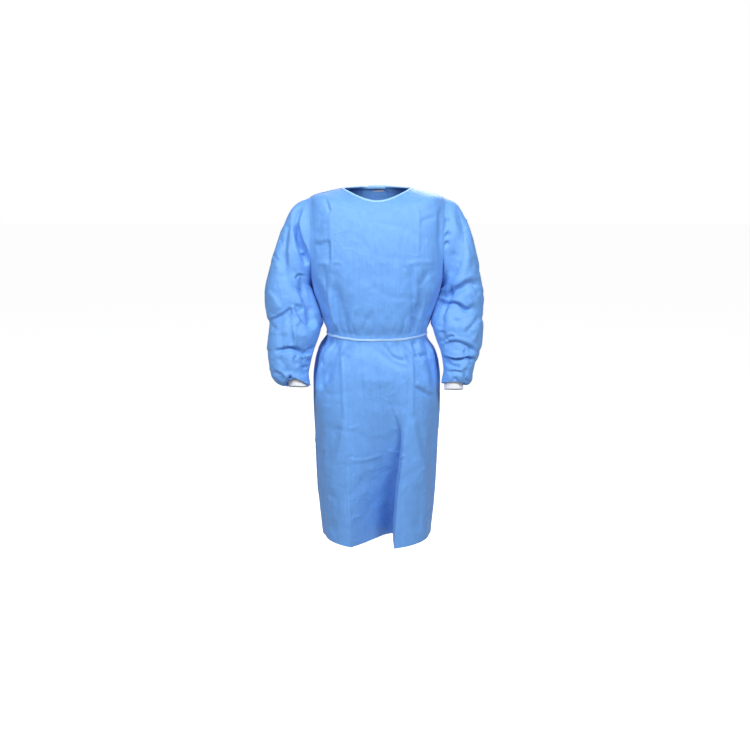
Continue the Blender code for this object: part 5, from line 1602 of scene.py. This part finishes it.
def dress():
    """Makes every piece, puts it on the gown's one body and hides the imported part that it stands for."""
    rng = np.random.default_rng(CRUMPLE_SEED)
    body_creases = TORSO_CREASES + SKIRT_CREASES + HIDDEN_BODY_CREASES
    body_creases += tuple(scattered(BODY_CRUMPLES, rng))
    front = body_panel("front_cloth", front_places(), True, True, body_creases, GOWN_CLOTH)
    backs = {"left": body_panel("back_cloth_left", back_places(-1), True, False, body_creases, GOWN_CLOTH),
             "right": body_panel("back_cloth_right", back_places(1), True, False, body_creases, GOWN_CLOTH)}
    sleeves, cuffs, tails = {}, {}, {}
    for side in ("left", "right"):
        creases = SLEEVE_CREASES[side] + tuple(scattered(SLEEVE_CRUMPLES[side], rng))
        sleeves[side] = sleeve(side, creases, GOWN_CLOTH)
        cuffs[side] = knit_cuff(side, CUFF_KNIT)
        tails[side] = belt_end(side, TIE_CLOTH)
    binding = neck_binding(BINDING_CLOTH)
    angles = np.linspace(1 - BACK_OVERLAP_ANGLE, BACK_OVERLAP_ANGLE - 1, BINDING_STEPS)
    seam_line, seam_out = body_face(angles, RISE_NECK - 0.8 * binding_rise(angles))
    thread = stitches("neck_stitches", seam_line + seam_out * 0.0010, seam_out, 0.0034, 0.0026, 0.00022,
                      THREAD)
    tie, knot = belt(TIE_CLOTH), belt_knot(TIE_CLOTH)
    loops = tape_patch("loop_patch", -1, SEAM, SEAM + TAPE_THICKNESS, (164, 196), (1.1166, 1.1400),
                       LOOP_TAPE)
    hooks = tape_patch("hook_patch", 1, -WALL - SEAM - TAPE_THICKNESS, -WALL - SEAM, (171, 197),
                       (1.1166, 1.1400), HOOK_TAPE)

    pieces = [(front, "gown_cloth", "front"), (backs["left"], "gown_cloth", "back_left"),
              (backs["right"], "gown_cloth", "back_right"), (sleeves["left"], "gown_cloth", "sleeve_left"),
              (sleeves["right"], "gown_cloth", "sleeve_right"), (cuffs["left"], "knit", "cuff_left"),
              (cuffs["right"], "knit", "cuff_right"), (binding, "binding", "neck_binding"),
              (thread, "binding", None), (tie, "tie", "belt"), (knot, "tie", "belt_knot"),
              (tails["left"], "tie", "belt_end_left"), (tails["right"], "tie", "belt_end_right"),
              (loops, "fastening_tape", "loop_tape"), (hooks, "fastening_tape", "hook_tape")]
    for piece, slot, node in pieces:
        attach(piece, "root")
        if node:
            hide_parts(node)


def studio_floor():
    """Pale floor that looks as white as the surroundings but throws little light up at the gown."""
    material, tree, shader = new_material("pale floor")
    shader.inputs["Base Color"].default_value = (0.45, 0.45, 0.46, 1.0)
    shader.inputs["Roughness"].default_value = 0.8
    seen = add(tree, "LightPath").outputs["Is Camera Ray"]
    glow = add(tree, "Math", {0: seen, 1: FLOOR_GLOW}, operation="MULTIPLY").outputs[0]
    shader.inputs["Emission Color"].default_value = (1.0, 1.0, 1.0, 1.0)
    tree.links.new(glow, shader.inputs["Emission Strength"])
    half = 30.0
    mesh = bpy.data.meshes.new("studio_floor")
    mesh.from_pydata([(-half, -half, FLOOR_LEVEL), (half, -half, FLOOR_LEVEL), (half, half, FLOOR_LEVEL),
                      (-half, half, FLOOR_LEVEL)], [], [(0, 1, 2, 3)])
    mesh.materials.append(material)
    floor = bpy.data.objects.new("studio_floor", mesh)
    bpy.context.scene.collection.objects.link(floor)


def white_surroundings():
    """White all round for the eye, with a weaker light from it."""
    world = bpy.data.worlds.new("white studio")
    world.use_nodes = True
    tree = world.node_tree
    seen = add(tree, "LightPath").outputs["Is Camera Ray"]
    strength = add(tree, "MapRange", {"Value": seen, "To Min": SURROUND_LIGHT, "To Max": 1.0}).outputs[0]
    background = tree.nodes["Background"]
    background.inputs["Color"].default_value = (1.0, 1.0, 1.0, 1.0)
    tree.links.new(strength, background.inputs["Strength"])
    bpy.context.scene.world = world


def softbox(box):
    """Square soft light, turned to the place that it is aimed at."""
    lamp = bpy.data.lights.new(box.name, "AREA")
    lamp.energy = box.watts
    lamp.size = box.width
    light = bpy.data.objects.new(box.name, lamp)
    light.location = box.at
    light.rotation_euler = (Vector(box.aim) - Vector(box.at)).to_track_quat("-Z", "Y").to_euler()
    bpy.context.scene.collection.objects.link(light)


def studio():
    """Floor, white surroundings, soft lights and the photograph's camera."""
    studio_floor()
    white_surroundings()
    for box in SOFTBOXES:
        softbox(box)
    camera = bpy.data.cameras.new("photograph view")
    camera.lens = CAMERA_LENS
    camera.sensor_width = CAMERA_SENSOR
    eye = bpy.data.objects.new("photograph view", camera)
    eye.location = CAMERA_AT
    eye.rotation_euler = (math.radians(90 - CAMERA_PITCH), 0, 0)
    bpy.context.scene.collection.objects.link(eye)
    bpy.context.scene.camera = eye
    bpy.context.scene.view_settings.view_transform = "Standard"


dress()
studio()
